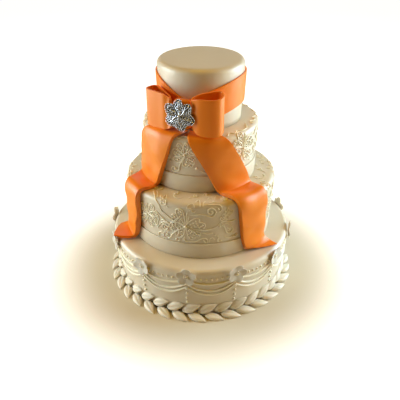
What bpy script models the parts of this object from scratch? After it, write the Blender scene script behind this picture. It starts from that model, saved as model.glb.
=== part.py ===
"""A four-tier iced wedding cake with a sugar-paste bow, a brooch, swags and a leaf border.

Four round tiers stand on one another. The foot of the second and third tiers wears a smooth
icing band, and piped lace covers their walls. An orange ribbon of sugar paste goes round the top
tier and is tied at the front in a bow with two loops, two long tails and a brooch on its knot.
The bottom tier carries twelve flowers with swags, pearls and a border of leaves at its foot.

Metres, +Z up. The origin is on the cake's axis at the bottom of the bottom tier, and the front
of the cake faces -Y. A place on the cake is an azimuth in degrees from the front, growing towards
+X, a radius from the axis, and a height.
"""

from math import cos, degrees, pi, radians, sin

import bmesh
import bpy
from mathutils import Matrix, Vector

# Driving dimensions, from the bottom tier to the top one.
TIER_RADII = (0.137, 0.1105, 0.082, 0.060)
TIER_TOPS = (0.084, 0.177, 0.2605, 0.344)
TIER_SIDES = (72, 60, 48, 48)
FOOT_SHARE = 0.945
RIM_ROUNDING = 0.007
RIM_STEPS = 2
GAP = 0.0003

BAND_HEIGHTS = {1: 0.0256, 2: 0.0266}
BAND_THICKNESS = 0.0018

FLOWER_COUNT = 12
FLOWER_PHASE = -8.6
FLOWER_RADIUS = 0.0138
FLOWER_HEIGHT = 0.0765
# How far a flower's petals, bowl and heart stand off the place where it touches the cake.
PETAL_BACK = 0.0034
PETAL_FRONT = 0.0052
BOWL_FRONT = 0.0030
HEART_FRONT = 0.0058

STRAND_HALF_WIDTH = 0.0013
STRAND_PROUD = 0.0022
# Each strand's height under a flower, and how far it hangs below that halfway to the next one.
STRAND_ENDS_AND_DROPS = ((0.055, 0.0145), (0.0615, 0.0130), (0.067, 0.0085))

PEARL_ROW_ENDS = 0.0745
PEARL_ROW_DROP = 0.0050
PEARL_ROW_COUNT = 7
PEARL_ROW_PITCH = 3.17
PEARL_RADIUS = 0.0014
HANGING_PEARLS = 5
HANGING_TOP = 0.0505
HANGING_PITCH = 0.0062
HANGING_RADIUS = 0.0018
HANGING_SHRINK = 0.06

LEAF_COUNT = 35
LEAF_REACH = 0.0325
LEAF_WIDTH = 0.0154
LEAF_HEIGHT = 0.0058
# Across a leaf, as shares of half its width and of its height: rim, lobe, lobe, rim.
LEAF_SECTION = ((-1.0, 0.05), (-0.42, 1.0), (0.42, 1.0), (1.0, 0.05))
# Along a leaf from its butt to its tip: a share of its length, and of its width and height there.
LEAF_STATIONS = ((0.08, 0.74, 0.80), (0.42, 1.0, 1.0), (0.80, 0.62, 0.80))
# Each row's butts and tips as a radius and a height, the tilt of its faces up from level in
# degrees, and the azimuth of its first leaf.
LEANING_ROW = ((0.1395, 0.0070), (0.1352, 0.0230), 42.0, -6.0)
LYING_ROW = ((0.1388, 0.0010), (0.1492, 0.0003), 90.0, -2.3)

RIBBON_WIDTH = 0.041
RIBBON_THICKNESS = 0.0024
KNOT_AZIMUTH = -20.0
WRAP_TOP_AT_KNOT = 0.303
WRAP_RISE = 0.026
LOOP_BOTTOM = 0.2642
LOOP_TOP = 0.3145
LOOP_PINCH = 0.009
RIGHT_LOOP_LIFT = 0.20
LEFT_LOOP_LIFT = 0.03

# The knot's width, depth and height, and the radius and height of its middle.
KNOT_SIZE = (0.0260, 0.0140, 0.040)
KNOT_PLACE = (0.0703, 0.289)
KNOT_ROUNDING = 0.0035

BROOCH_RADIUS = 0.0210
BROOCH_THICKNESS = 0.0045
BROOCH_LOBES = 6
BROOCH_PLACE = (0.0799, 0.2905)

IVORY_ICING = ("ivory fondant", (0.86, 0.76, 0.60), 0.55, 0.0)
ROYAL_ICING = ("white royal icing", (0.90, 0.84, 0.74), 0.6, 0.0)
ORANGE_PASTE = ("orange sugar paste", (0.90, 0.26, 0.04), 0.5, 0.0)
GREY_PASTE = ("grey-white flower paste", (0.62, 0.60, 0.56), 0.5, 0.0)
SILVER = ("cast silver", (0.66, 0.66, 0.68), 0.25, 1.0)


# --- Helpers -----------------------------------------------------------------------------------


def on_cake(azimuth, radius, height):
    """The point at this azimuth in degrees from the front, radius and height."""
    turn = radians(azimuth)
    return Vector((radius * sin(turn), -radius * cos(turn), height))


def outward(azimuth):
    return on_cake(azimuth, 1.0, 0.0)


def along(azimuth):
    """The level direction in which the azimuth grows."""
    return on_cake(azimuth + 90.0, 1.0, 0.0)


def tier_foot(tier):
    return TIER_TOPS[tier - 1] + GAP if tier else 0.0


def wall_radius(tier, height):
    """A tier's wall leans out a little from its foot to its rim."""
    share = (height - tier_foot(tier)) / (TIER_TOPS[tier] - tier_foot(tier))
    return TIER_RADII[tier] * (FOOT_SHARE + (1 - FOOT_SHARE) * share)


def material_of(finish):
    name, colour, roughness, metallic = finish
    if name in bpy.data.materials:
        return bpy.data.materials[name]
    made = bpy.data.materials.new(name)
    made.use_nodes = True
    shader = made.node_tree.nodes["Principled BSDF"]
    shader.inputs["Base Color"].default_value = (*colour, 1.0)
    shader.inputs["Roughness"].default_value = roughness
    shader.inputs["Metallic"].default_value = metallic
    return made


def mesh_object(name, build, finish):
    """A new object with its finish, its faces turned to point out. It is in no collection yet."""
    bmesh.ops.recalc_face_normals(build, faces=build.faces)
    mesh = bpy.data.meshes.new(name)
    build.to_mesh(mesh)
    build.free()
    mesh.materials.append(material_of(finish))
    return bpy.data.objects.new(name, mesh)


def object_of(name, build, finish):
    made = mesh_object(name, build, finish)
    bpy.context.scene.collection.objects.link(made)
    return made


def add_rows(build, rows, closed_across):
    """Points in rows, joined by faces along and across the rows."""
    grid = [[build.verts.new(point) for point in row] for row in rows]
    across = len(grid[0])
    for lower, upper in zip(grid, grid[1:]):
        for step in range(across if closed_across else across - 1):
            after = (step + 1) % across
            build.faces.new((lower[step], lower[after], upper[after], upper[step]))
    return grid


def add_ring_body(build, rings):
    """A body through closed rings, with its two ends capped."""
    grid = add_rows(build, rings, closed_across=True)
    build.faces.new(grid[0][::-1])
    build.faces.new(grid[-1])


def piped_line(points, normals, half_width, proud, sunk):
    """A piped line of three sides: two feet sunk in the icing, and a crest that stands proud."""
    rings = []
    for step, (point, normal) in enumerate(zip(points, normals)):
        before = points[max(step - 1, 0)]
        after = points[min(step + 1, len(points) - 1)]
        side = (after - before).cross(normal).normalized() * half_width
        feet = [point + side - normal * sunk, point - side - normal * sunk]
        rings.append((feet[0], point + normal * proud, feet[1]))
    build = bmesh.new()
    add_ring_body(build, rings)
    return build


def fuse(body, shapes):
    """Joins closed shapes of royal icing, each a bmesh, to a body in one union."""
    toppings = bpy.data.collections.new("toppings")
    for shape in shapes:
        toppings.objects.link(mesh_object("topping", shape, ROYAL_ICING))
    union = body.modifiers.new("Toppings", "BOOLEAN")
    union.operand_type = "COLLECTION"
    union.operation = "UNION"
    union.collection = toppings
    graph = bpy.context.evaluated_depsgraph_get()
    joined = bpy.data.meshes.new_from_object(body.evaluated_get(graph))
    body.modifiers.remove(union)
    body.data = joined
    for topping in list(toppings.objects):
        bpy.data.objects.remove(topping)
    bpy.data.collections.remove(toppings)


def catmull_rom(p, q, r, s, t):
    """The value share t of the way from q to r, on the curve through p, q, r and s."""
    square, cube = (2 * p - 5 * q + 4 * r - s), (3 * q - p - 3 * r + s)
    return 0.5 * (2 * q + (r - p) * t + square * t**2 + cube * t**3)


def smooth_path(points, steps, closed=False):
    """A curve through the given tuples (Catmull-Rom), with steps points for each stretch."""
    count = len(points)
    stretches = count if closed else count - 1

    def pick(index):
        return points[index % count] if closed else points[min(max(index, 0), count - 1)]

    path = []
    for start in range(stretches):
        a, b, c, d = (pick(start + offset) for offset in (-1, 0, 1, 2))
        for step in range(steps):
            t = step / steps
            path.append(tuple(catmull_rom(*values, t) for values in zip(a, b, c, d)))
    return path if closed else [*path, tuple(points[-1])]


# --- Tiers and bands ---------------------------------------------------------------------------


def rim_points(tier):
    """(radius, height) over the rounded rim, from the wall's upper end to the flat top."""
    centre_radius = wall_radius(tier, TIER_TOPS[tier]) - RIM_ROUNDING
    centre_height = TIER_TOPS[tier] - RIM_ROUNDING
    turns = [pi / 2 * step / RIM_STEPS for step in range(RIM_STEPS + 1)]
    return [(centre_radius + RIM_ROUNDING * cos(t), centre_height + RIM_ROUNDING * sin(t)) for t in turns]


def strand_height(strand, share):
    """The height of a swag's strand, share of the way from one flower to the next."""
    end, drop = STRAND_ENDS_AND_DROPS[strand]
    return end - drop * (1 - (2 * share - 1) ** 2)


def bottom_tier_outline(share):
    """(radius, height) up the bottom tier's wall, with a ridge for each strand of the swags."""
    outline = [(wall_radius(0, 0.0), 0.0)]
    for strand in range(len(STRAND_ENDS_AND_DROPS)):
        height = strand_height(strand, share)
        for offset, proud in ((-STRAND_HALF_WIDTH, 0.0), (0.0, STRAND_PROUD), (STRAND_HALF_WIDTH, 0.0)):
            outline.append((wall_radius(0, height + offset) + proud, height + offset))
    return outline + rim_points(0)


def tier_body(name, tier, outline_at):
    """A solid tier whose outline is asked for at each azimuth, as a share of a flower's spacing."""
    sides = TIER_SIDES[tier]
    columns = []
    for side in range(sides):
        azimuth = FLOWER_PHASE + 360.0 * side / sides
        share = (side * FLOWER_COUNT / sides) % 1.0
        columns.append([on_cake(azimuth, radius, height) for radius, height in outline_at(share)])
    build = bmesh.new()
    add_ring_body(build, list(zip(*columns)))
    return object_of(name, build, IVORY_ICING)


def plain_outline(tier):
    return [(wall_radius(tier, tier_foot(tier)), tier_foot(tier))] + rim_points(tier)


def pearl(azimuth, height, radius):
    """A pearl of four outer faces on a square root that is sunk in the bottom tier's wall."""
    tip_share, root_share, corner_share = 1.4, 0.4, 1.25
    build = bmesh.new()
    centre = on_cake(azimuth, wall_radius(0, height), height)
    tip = build.verts.new(centre + outward(azimuth) * radius * tip_share)
    root = centre - outward(azimuth) * radius * root_share
    right, up = along(azimuth), Vector((0, 0, 1))
    belt = [build.verts.new(root + corner * radius * corner_share) for corner in (right, up, -right, -up)]
    build.faces.new(belt)
    for side in range(4):
        build.faces.new((belt[side], belt[(side + 1) % 4], tip))
    return build


def bottom_tier():
    """The tier with its swags, the row of pearls over them and the pearls under each flower."""
    tier = tier_body("tier_1", 0, bottom_tier_outline)
    spacing = 360.0 / FLOWER_COUNT
    pearls = []
    for flower in range(FLOWER_COUNT):
        azimuth = FLOWER_PHASE + spacing * flower
        for place in range(HANGING_PEARLS):
            radius = HANGING_RADIUS * (1 - HANGING_SHRINK * place)
            pearls.append(pearl(azimuth, HANGING_TOP - HANGING_PITCH * place, radius))
        for place in range(PEARL_ROW_COUNT):
            offset = spacing / 2 + PEARL_ROW_PITCH * (place - (PEARL_ROW_COUNT - 1) / 2)
            share = offset / spacing
            height = PEARL_ROW_ENDS - PEARL_ROW_DROP * (1 - (2 * share - 1) ** 2)
            pearls.append(pearl(azimuth + offset, height, PEARL_RADIUS))
    fuse(tier, pearls)


def foot_band(name, tier):
    """A smooth strip of icing round a tier's foot, just clear of its wall."""
    foot = TIER_TOPS[tier - 1] + 2 * GAP
    top = foot + BAND_HEIGHTS[tier]
    columns = []
    for side in range(TIER_SIDES[tier]):
        azimuth = FLOWER_PHASE + 360.0 * side / TIER_SIDES[tier]
        inner = [on_cake(azimuth, wall_radius(tier, z) + GAP, z) for z in (foot, top)]
        outer = [point + outward(azimuth) * BAND_THICKNESS for point in inner]
        columns.append((inner[0], outer[0], outer[1], inner[1]))
    build = bmesh.new()
    add_rows(build, [*columns, columns[0]], closed_across=True)
    bmesh.ops.remove_doubles(build, verts=build.verts, dist=GAP / 10)
    object_of(name, build, IVORY_ICING)


# --- Piped lace on the walls of the second and third tiers -------------------------------------

LACE_HALF_WIDTH = 0.0009
LACE_PROUD = 0.0011
LACE_SUNK = 0.0006


def lace_line(tier, azimuth, points, steps=2):
    """A piped line on a tier's wall. Its points are millimetres round from a motif, and up."""
    path, normals = [], []
    for round_mm, up_mm in smooth_path(points, steps):
        height = up_mm / 1000
        radius = wall_radius(tier, height)
        place = azimuth + degrees(round_mm / 1000 / radius)
        path.append(on_cake(place, radius, height))
        normals.append(outward(place))
    return piped_line(path, normals, LACE_HALF_WIDTH, LACE_PROUD, LACE_SUNK)


def spiral(centre, start_radius, start_turn, turns, steps=6):
    """(round, up) along a scroll that winds in to its centre."""
    points = []
    for step in range(steps + 1):
        share = step / steps
        turn = radians(start_turn + 360 * turns * share)
        radius = start_radius * (1 - 0.75 * share)
        points.append((centre[0] + radius * cos(turn), centre[1] + radius * sin(turn)))
    return points


def lace_flower(tier, azimuth, up_mm, petals, reach_mm):
    """A low star of pointed petals, its faces split from its raised centre."""
    build = bmesh.new()
    height = up_mm / 1000
    radius = wall_radius(tier, height)
    place, normal, side = on_cake(azimuth, radius, height), outward(azimuth), along(azimuth)
    heart = build.verts.new(place + normal * LACE_PROUD * 1.6)
    root = build.verts.new(place - normal * LACE_SUNK * 4)
    edge = []
    for corner in range(petals * 2):
        turn = pi * corner / petals
        reach = reach_mm / 1000 * (0.45 if corner % 2 else 1.0)
        lift = normal * (LACE_PROUD * 0.4)
        direction = side * cos(turn) + Vector((0, 0, sin(turn)))
        edge.append(build.verts.new(place + direction * reach + lift))
    for corner, vert in enumerate(edge):
        after = edge[(corner + 1) % len(edge)]
        build.faces.new((vert, after, heart))
        build.faces.new((after, vert, root))
    return build


def second_tier():
    """Five repeats of a flower with a tall stem, a scroll and two branches."""
    tier = tier_body("tier_2", 1, lambda share: plain_outline(1))
    lace = []
    repeats = 5
    for repeat in range(repeats):
        azimuth = -13.0 + 360.0 * repeat / repeats
        lace.append(lace_flower(1, azimuth, 129.0, 6, 11.0))
        lace.append(lace_line(1, azimuth, [(-12, 136), (-25, 152), (-44, 168)]))
        lace.append(lace_line(1, azimuth, [(9, 139), (22, 148), (36, 150)]))
        lace.append(lace_line(1, azimuth, spiral((33.0, 143.0), 7.5, 80.0, -0.9, steps=5), steps=1))
        lace.append(lace_line(1, azimuth, [(12, 124), (26, 121), (44, 130)]))
    fuse(tier, lace)


def third_tier():
    """Five repeats of a scrolled stem, a flower and a branch."""
    tier = tier_body("tier_3", 2, lambda share: plain_outline(2))
    lace = []
    repeats = 5
    for repeat in range(repeats):
        azimuth = -9.0 + 360.0 * repeat / repeats
        lace.append(lace_line(2, azimuth, [(-9, 212), (-2, 224), (10, 240)]))
        lace.append(lace_line(2, azimuth, spiral((-13.0, 214.0), 5.0, -20.0, -0.8, steps=5), steps=1))
        lace.append(lace_flower(2, azimuth + 14.0, 226.0, 5, 8.0))
        lace.append(lace_line(2, azimuth, [(32, 216), (40, 232), (52, 248)]))
    fuse(tier, lace)


# --- Ribbon, bow, tails and brooch -------------------------------------------------------------


def wrap_top(azimuth):
    """The ribbon's upper edge round the top tier: a V that rises both ways from the knot."""
    from_knot = (azimuth - KNOT_AZIMUTH + 180.0) % 360.0 - 180.0
    steepness = 1.0 if from_knot > 0 else 1.35
    return WRAP_TOP_AT_KNOT + WRAP_RISE * sin(radians(min(steepness * abs(from_knot), 90.0)))


def ribbon_wrap():
    columns = []
    for side in range(TIER_SIDES[3]):
        azimuth = FLOWER_PHASE + 360.0 * side / TIER_SIDES[3]
        top = wrap_top(azimuth)
        bottom = max(top - RIBBON_WIDTH, TIER_TOPS[2] + 3 * GAP)
        inner = [on_cake(azimuth, wall_radius(3, z) + GAP, z) for z in (bottom, top)]
        outer = [point + outward(azimuth) * RIBBON_THICKNESS for point in inner]
        columns.append((inner[0], outer[0], outer[1], inner[1]))
    build = bmesh.new()
    add_rows(build, [*columns, columns[0]], closed_across=True)
    bmesh.ops.remove_doubles(build, verts=build.verts, dist=GAP / 10)
    object_of("ribbon_wrap", build, ORANGE_PASTE)


def bow_loop(name, plan, back_lift):
    """A loop of ribbon that stands on edge. The plan is millimetres right and forward of the axis.

    The last item of each point is how full the ribbon stands there: 1 is its whole width, and at
    the knot the pinch draws its edges in. The back of the loop is lifted by a share of its depth.
    """
    lower, upper = [], []
    front = max(place[1] for place in plan)
    for right, forward, fullness in smooth_path(plan, 2, closed=True):
        drawn_in = LOOP_PINCH * (1 - fullness)
        lift = back_lift * (front - forward) / 1000
        lower.append(Vector((right / 1000, -forward / 1000, LOOP_BOTTOM + drawn_in + lift)))
        upper.append(Vector((right / 1000, -forward / 1000, LOOP_TOP - drawn_in + lift)))
    middle = [low.lerp(high, 0.5) for low, high in zip(lower, upper)]
    build = bmesh.new()
    add_rows(build, [lower, middle, upper], closed_across=True)
    loop = object_of(name, build, ORANGE_PASTE)
    wall = loop.modifiers.new("Ribbon", "SOLIDIFY")
    wall.thickness = RIBBON_THICKNESS
    wall.offset = -1
    wall.use_even_offset = True


RIGHT_LOOP = (
    (-12.4, 75.3, 0.0),
    (-6.0, 80.0, 0.4),
    (1.0, 85.5, 0.9),
    (11.0, 87.3, 1.0),
    (21.5, 83.0, 1.0),
    (28.5, 75.0, 1.0),
    (29.0, 67.5, 1.0),
    (23.0, 64.0, 1.0),
    (12.0, 65.5, 0.9),
    (0.0, 67.0, 0.6),
    (-8.8, 68.0, 0.0),
)
LEFT_LOOP = (
    (-39.5, 67.0, 0.0),
    (-44.0, 63.5, 0.4),
    (-51.0, 60.6, 0.9),
    (-59.0, 57.5, 1.0),
    (-67.0, 54.5, 1.0),
    (-72.3, 46.0, 1.0),
    (-70.0, 36.5, 1.0),
    (-63.0, 30.8, 1.0),
    (-56.5, 33.0, 1.0),
    (-50.0, 41.5, 0.8),
    (-43.5, 49.5, 0.4),
    (-38.3, 56.0, 0.0),
)


def knot():
    """A soft block of gathered ribbon behind the brooch, turned to face out from the cake."""
    build = bmesh.new()
    bmesh.ops.create_cube(build, size=1.0)
    bmesh.ops.scale(build, vec=KNOT_SIZE, verts=build.verts)
    bmesh.ops.bevel(build, geom=build.edges, offset=KNOT_ROUNDING, segments=2, profile=0.5, affect="EDGES")
    made = object_of("knot", build, ORANGE_PASTE)
    made.location = on_cake(KNOT_AZIMUTH, *KNOT_PLACE)
    made.rotation_euler = (0, 0, radians(KNOT_AZIMUTH))


# A tail's places from the knot down: for its left edge and then its right edge an azimuth, a
# radius and a height in millimetres; how far its middle arches off the cake in millimetres; and
# which way the arch points, in degrees up from level.
LEFT_TAIL = (
    (-40, 62.0, 261.2, -17, 62.0, 261.2, 0.0, 90),
    (-49, 74.0, 261.4, -21, 74.0, 261.4, 0.3, 88),
    (-58, 81.6, 259.9, -25, 81.6, 259.9, 1.5, 55),
    (-66, 83.6, 251.0, -28.5, 83.6, 251.0, 3.5, 10),
    (-71, 82.2, 229.0, -33.5, 82.2, 229.0, 5.5, 0),
    (-76, 82.0, 205.0, -39.5, 82.0, 205.0, 6.0, 0),
    (-80, 82.4, 190.0, -44, 82.4, 190.0, 5.5, 15),
    (-81, 86.5, 182.5, -46, 86.5, 182.5, 4.5, 50),
    (-80, 93.0, 178.8, -46.5, 93.0, 178.8, 3.5, 85),
    (-78, 102.0, 178.6, -48.5, 102.0, 178.6, 3.5, 88),
    (-77, 109.7, 176.4, -49.5, 109.7, 176.4, 5.5, 50),
    (-76.5, 112.1, 167.0, -50.5, 112.1, 167.0, 8.0, 10),
    (-77, 110.2, 145.0, -52.5, 110.2, 145.0, 9.0, 0),
    (-78, 108.9, 120.0, -54.5, 108.9, 120.0, 9.0, 0),
    (-80, 108.7, 103.0, -57, 108.7, 103.0, 8.0, 5),
    (-82, 109.5, 92.0, -59.5, 109.5, 92.0, 6.0, 25),
    (-83, 113.0, 86.4, -60.5, 115.5, 87.0, 3.0, 60),
    (-83, 120.5, 85.2, -61.5, 128.0, 88.0, 1.5, 85),
    (-81, 127.0, 85.4, -64.0, 145.0, 93.6, 0.4, 90),
)
RIGHT_TAIL = (
    (-14, 62.0, 261.2, 10, 62.0, 261.2, 0.0, 90),
    (-12.5, 74.0, 261.4, 16, 74.0, 261.4, 0.3, 88),
    (-11.5, 81.6, 259.9, 21, 81.6, 259.9, 1.5, 55),
    (-9, 83.6, 251.0, 27, 83.6, 251.0, 3.5, 10),
    (-0.5, 82.2, 229.0, 36, 82.2, 229.0, 5.0, 0),
    (8, 82.0, 205.0, 45, 82.0, 205.0, 5.0, 0),
    (13.5, 82.4, 190.0, 52.5, 82.4, 190.0, 4.5, 15),
    (16.5, 86.5, 182.5, 54.5, 86.5, 182.5, 3.5, 50),
    (19.5, 93.0, 178.8, 55.5, 93.0, 178.8, 3.0, 85),
    (23, 102.0, 178.6, 56, 102.0, 178.6, 3.5, 88),
    (25.5, 109.7, 176.4, 56.5, 109.7, 176.4, 5.5, 50),
    (27.5, 112.1, 167.0, 57, 112.1, 167.0, 8.0, 10),
    (29.5, 110.2, 145.0, 58.5, 110.2, 145.0, 9.0, 0),
    (31.5, 108.9, 120.0, 59, 108.9, 120.0, 8.5, 0),
    (33.5, 108.7, 103.0, 59.5, 108.7, 103.0, 7.5, 5),
    (35, 109.3, 92.0, 59.5, 111.5, 92.0, 4.5, 30),
    (36, 109.6, 87.0, 58.5, 121.0, 86.6, 2.0, 60),
    (37, 110.6, 85.2, 57, 134.0, 85.2, 0.4, 88),
)
# Across a tail from edge to edge, and the share of the arch there: its edges are folded back.
HALF_TAIL_SECTION = ((0.4, 1.0), (0.92, 0.88), (0.98, 0.5), (1.0, 0.0))
TAIL_SECTION = (*((-across, arch) for across, arch in HALF_TAIL_SECTION[::-1]), *HALF_TAIL_SECTION)


def hanging_tail(name, places):
    """A ribbon that hangs down the cake, its edges folded back to the icing."""
    rows = []
    for place in places:
        left, right, (arch, tilt) = place[:3], place[3:6], place[6:]
        row = []
        for across, share_of_arch in TAIL_SECTION:
            share = (across + 1) / 2
            azimuth, radius, height = (a + (b - a) * share for a, b in zip(left, right))
            off = outward(azimuth) * cos(radians(tilt)) + Vector((0, 0, sin(radians(tilt))))
            row.append(on_cake(azimuth, radius / 1000, height / 1000) + off * arch / 1000 * share_of_arch)
        rows.append(row)
    build = bmesh.new()
    add_rows(build, rows[::-1], closed_across=False)
    tail = object_of(name, build, ORANGE_PASTE)
    thick = tail.modifiers.new("Ribbon", "SOLIDIFY")
    thick.thickness = RIBBON_THICKNESS
    thick.offset = 1


def brooch():
    """A six-lobed cast brooch, domed, with a ridge out along each lobe."""
    points_per_lobe, first_turn = 6, radians(5)
    corners = BROOCH_LOBES * points_per_lobe
    build = bmesh.new()
    rings = []
    for reach, front in ((1.0, -0.5), (1.0, 0.1), (0.72, 0.45), (0.3, 0.75)):
        ring = []
        for corner in range(corners):
            turn = 2 * pi * corner / corners + first_turn
            wave = 0.5 + 0.5 * cos(BROOCH_LOBES * (turn - first_turn))
            outline = BROOCH_RADIUS * reach * (0.70 + 0.30 * wave**0.8 if reach > 0.5 else 0.9)
            ridge = BROOCH_THICKNESS * (front + (0.22 * wave if front > 0 else 0.0))
            ring.append(Vector((outline * sin(turn), -ridge, outline * cos(turn))))
        rings.append(ring)
    add_ring_body(build, rings)
    made = object_of("brooch", build, SILVER)
    made.location = on_cake(KNOT_AZIMUTH, *BROOCH_PLACE)
    made.rotation_euler = (0, 0, radians(KNOT_AZIMUTH))


# --- Flowers and leaves ------------------------------------------------------------------------


def flower_mesh():
    """Five round petals, cupped, that all twelve flowers share. It faces -Y."""
    points_per_petal, notch_share, bowl_share = 3, 0.80, 0.38
    corners = 5 * points_per_petal
    build = bmesh.new()
    back, front, bowl = [], [], []
    for corner in range(corners):
        turn = 2 * pi * corner / corners
        reach = FLOWER_RADIUS * (notch_share if corner % points_per_petal == 0 else 1.0)
        direction = Vector((sin(turn), 0, cos(turn)))
        for ring, radius, forward in (
            (back, reach, PETAL_BACK),
            (front, reach, PETAL_FRONT),
            (bowl, FLOWER_RADIUS * bowl_share, BOWL_FRONT),
        ):
            ring.append(build.verts.new(direction * radius - Vector((0, forward, 0))))
    root = build.verts.new((0, 0, 0))
    heart = build.verts.new((0, -HEART_FRONT, 0))
    for corner in range(corners):
        after = (corner + 1) % corners
        build.faces.new((back[after], back[corner], root))
        build.faces.new((back[corner], back[after], front[after], front[corner]))
        build.faces.new((front[corner], front[after], bowl[after], bowl[corner]))
        build.faces.new((bowl[corner], bowl[after], heart))
    bmesh.ops.recalc_face_normals(build, faces=build.faces)
    mesh = bpy.data.meshes.new("flower")
    build.to_mesh(mesh)
    build.free()
    mesh.materials.append(material_of(GREY_PASTE))
    return mesh


def flowers():
    shared = flower_mesh()
    for flower in range(FLOWER_COUNT):
        azimuth = FLOWER_PHASE + 360.0 * flower / FLOWER_COUNT
        made = bpy.data.objects.new(f"flower_{flower + 1:02d}", shared)
        made.location = on_cake(azimuth, wall_radius(0, FLOWER_HEIGHT) + 0.0009, FLOWER_HEIGHT)
        spin = Matrix.Rotation(radians(17.0 * flower), 4, "Y")
        made.rotation_euler = (Matrix.Rotation(radians(azimuth), 4, "Z") @ spin).to_euler()
        bpy.context.scene.collection.objects.link(made)


def leaf(butt, tip, face):
    """A plump pointed leaf from its round butt to its tip."""
    length = (tip - butt).normalized()
    side = length.cross(face).normalized()
    up = side.cross(length).normalized()
    build = bmesh.new()
    rings = []
    for share, wide, high in LEAF_STATIONS:
        half, lobe = LEAF_WIDTH / 2 * wide, LEAF_HEIGHT * high
        middle = butt.lerp(tip, share)
        rings.append([middle + side * across * half + up * lift * lobe for across, lift in LEAF_SECTION])
    grid = add_rows(build, rings, closed_across=True)
    corners = len(LEAF_SECTION)
    for ring, end in ((grid[0], butt), (grid[-1], tip)):
        point = build.verts.new(end + up * LEAF_HEIGHT * 0.3)
        for step in range(corners):
            build.faces.new((ring[step], ring[(step + 1) % corners], point))
    return build


def leaf_row(butt, tip, face_tilt, phase):
    """A ring of leaves that point round the cake."""
    leaves = []
    reach = degrees(LEAF_REACH / butt[0])
    for place in range(LEAF_COUNT):
        azimuth = phase + 360.0 / LEAF_COUNT * place
        face = outward(azimuth) * cos(radians(face_tilt)) + Vector((0, 0, sin(radians(face_tilt))))
        leaves.append(leaf(on_cake(azimuth - reach / 2, *butt), on_cake(azimuth + reach / 2, *tip), face))
    return leaves


def leaf_border():
    """Two rows of leaves: one leans on the bottom tier's wall, and one lies round its foot."""
    leaves = leaf_row(*LEANING_ROW) + leaf_row(*LYING_ROW)
    first = object_of("leaf_border", leaves[0], ROYAL_ICING)
    fuse(first, leaves[1:])


# --- The cake ----------------------------------------------------------------------------------

for old in list(bpy.data.objects):
    bpy.data.objects.remove(old)

bottom_tier()
second_tier()
third_tier()
tier_body("tier_4", 3, lambda share: plain_outline(3))
foot_band("band_2", 1)
foot_band("band_3", 2)
ribbon_wrap()
bow_loop("bow_loop_right", RIGHT_LOOP, RIGHT_LOOP_LIFT)
bow_loop("bow_loop_left", LEFT_LOOP, LEFT_LOOP_LIFT)
knot()
hanging_tail("tail_left", LEFT_TAIL)
hanging_tail("tail_right", RIGHT_TAIL)
brooch()
flowers()
leaf_border()
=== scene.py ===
# %% [markdown]
# # A four-tier wedding cake with a sugar bow
# The cake stands 344 mm tall: four round tiers in ivory fondant, lace piped in royal icing, twelve
# paste flowers over swags and pearls, two rows of leaves at the foot, and an orange bow of sugar
# paste with a silver brooch. The frame holds every solid at its real size and place. Loading it
# first means that each finer piece below can be set on it without any fitting.

# %% Load the frame
from math import atan2, cos, degrees, hypot, pi, radians, sin
from random import Random

import bmesh
import bpy
from mathutils import Matrix, Vector, noise


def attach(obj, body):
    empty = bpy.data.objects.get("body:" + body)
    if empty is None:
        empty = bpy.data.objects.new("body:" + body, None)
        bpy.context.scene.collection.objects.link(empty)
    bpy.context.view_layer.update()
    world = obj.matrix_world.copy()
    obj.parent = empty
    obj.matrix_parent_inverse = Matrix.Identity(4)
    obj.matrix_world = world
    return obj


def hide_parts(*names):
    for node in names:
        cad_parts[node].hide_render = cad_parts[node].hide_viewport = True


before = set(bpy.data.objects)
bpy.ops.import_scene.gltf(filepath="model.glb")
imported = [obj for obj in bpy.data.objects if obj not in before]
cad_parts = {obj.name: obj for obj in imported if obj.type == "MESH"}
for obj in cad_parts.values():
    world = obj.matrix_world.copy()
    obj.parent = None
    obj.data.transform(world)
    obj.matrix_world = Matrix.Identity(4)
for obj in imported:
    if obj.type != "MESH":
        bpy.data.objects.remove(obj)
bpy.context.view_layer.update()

# %% [markdown]
# ## The sizes that everything follows
# The same few sizes drive the solids, so they are written here once more, in metres. A place on
# the cake is an azimuth in degrees from the front, growing to the right, then a radius from the
# axis and a height. Written that way, a piece that repeats round the cake is one loop.

# %% Sizes of the tiers
TIER_RADII = (0.137, 0.1105, 0.082, 0.060)
TIER_TOPS = (0.084, 0.177, 0.2605, 0.344)
# A tier's radius at its foot is this share of the radius at its rim.
FOOT_SHARE = 0.945
RIM_ROUNDING = 0.007
# The room left between two pieces that touch.
GAP = 0.0003
# The paste flowers are spaced evenly, and the first stands at this azimuth.
FLOWER_COUNT = 12
FLOWER_PHASE = -8.6
FLOWER_SPACING = 360.0 / FLOWER_COUNT
KNOT_AZIMUTH = -20.0
UP = Vector((0.0, 0.0, 1.0))


def on_cake(azimuth, radius, height):
    """The point at an azimuth, a radius and a height."""
    turn = radians(azimuth)
    return Vector((radius * sin(turn), -radius * cos(turn), height))


def outward(azimuth):
    """The level direction away from the axis."""
    return on_cake(azimuth, 1.0, 0.0)


def tier_foot(tier):
    """The height of a tier's foot, just clear of the tier under it. The bottom tier is 0."""
    return TIER_TOPS[tier - 1] + GAP if tier else 0.0


def wall_radius(tier, height):
    """The radius of a tier's wall at a height."""
    share = (height - tier_foot(tier)) / (TIER_TOPS[tier] - tier_foot(tier))
    return TIER_RADII[tier] * (FOOT_SHARE + (1 - FOOT_SHARE) * share)


print("tiers:", ", ".join(f"{2000 * radius:.0f} mm across" for radius in TIER_RADII))

# %% [markdown]
# A piped line can climb a wall, go over the rounded rim and run in across the top. One distance,
# the climb, covers all three stretches, so a lace motif drawn flat on paper can be laid on the
# icing by its azimuth and its climb alone, and it bends over the rim as the real one does.

# %% The way up a wall, over the rim and in across the top


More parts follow.
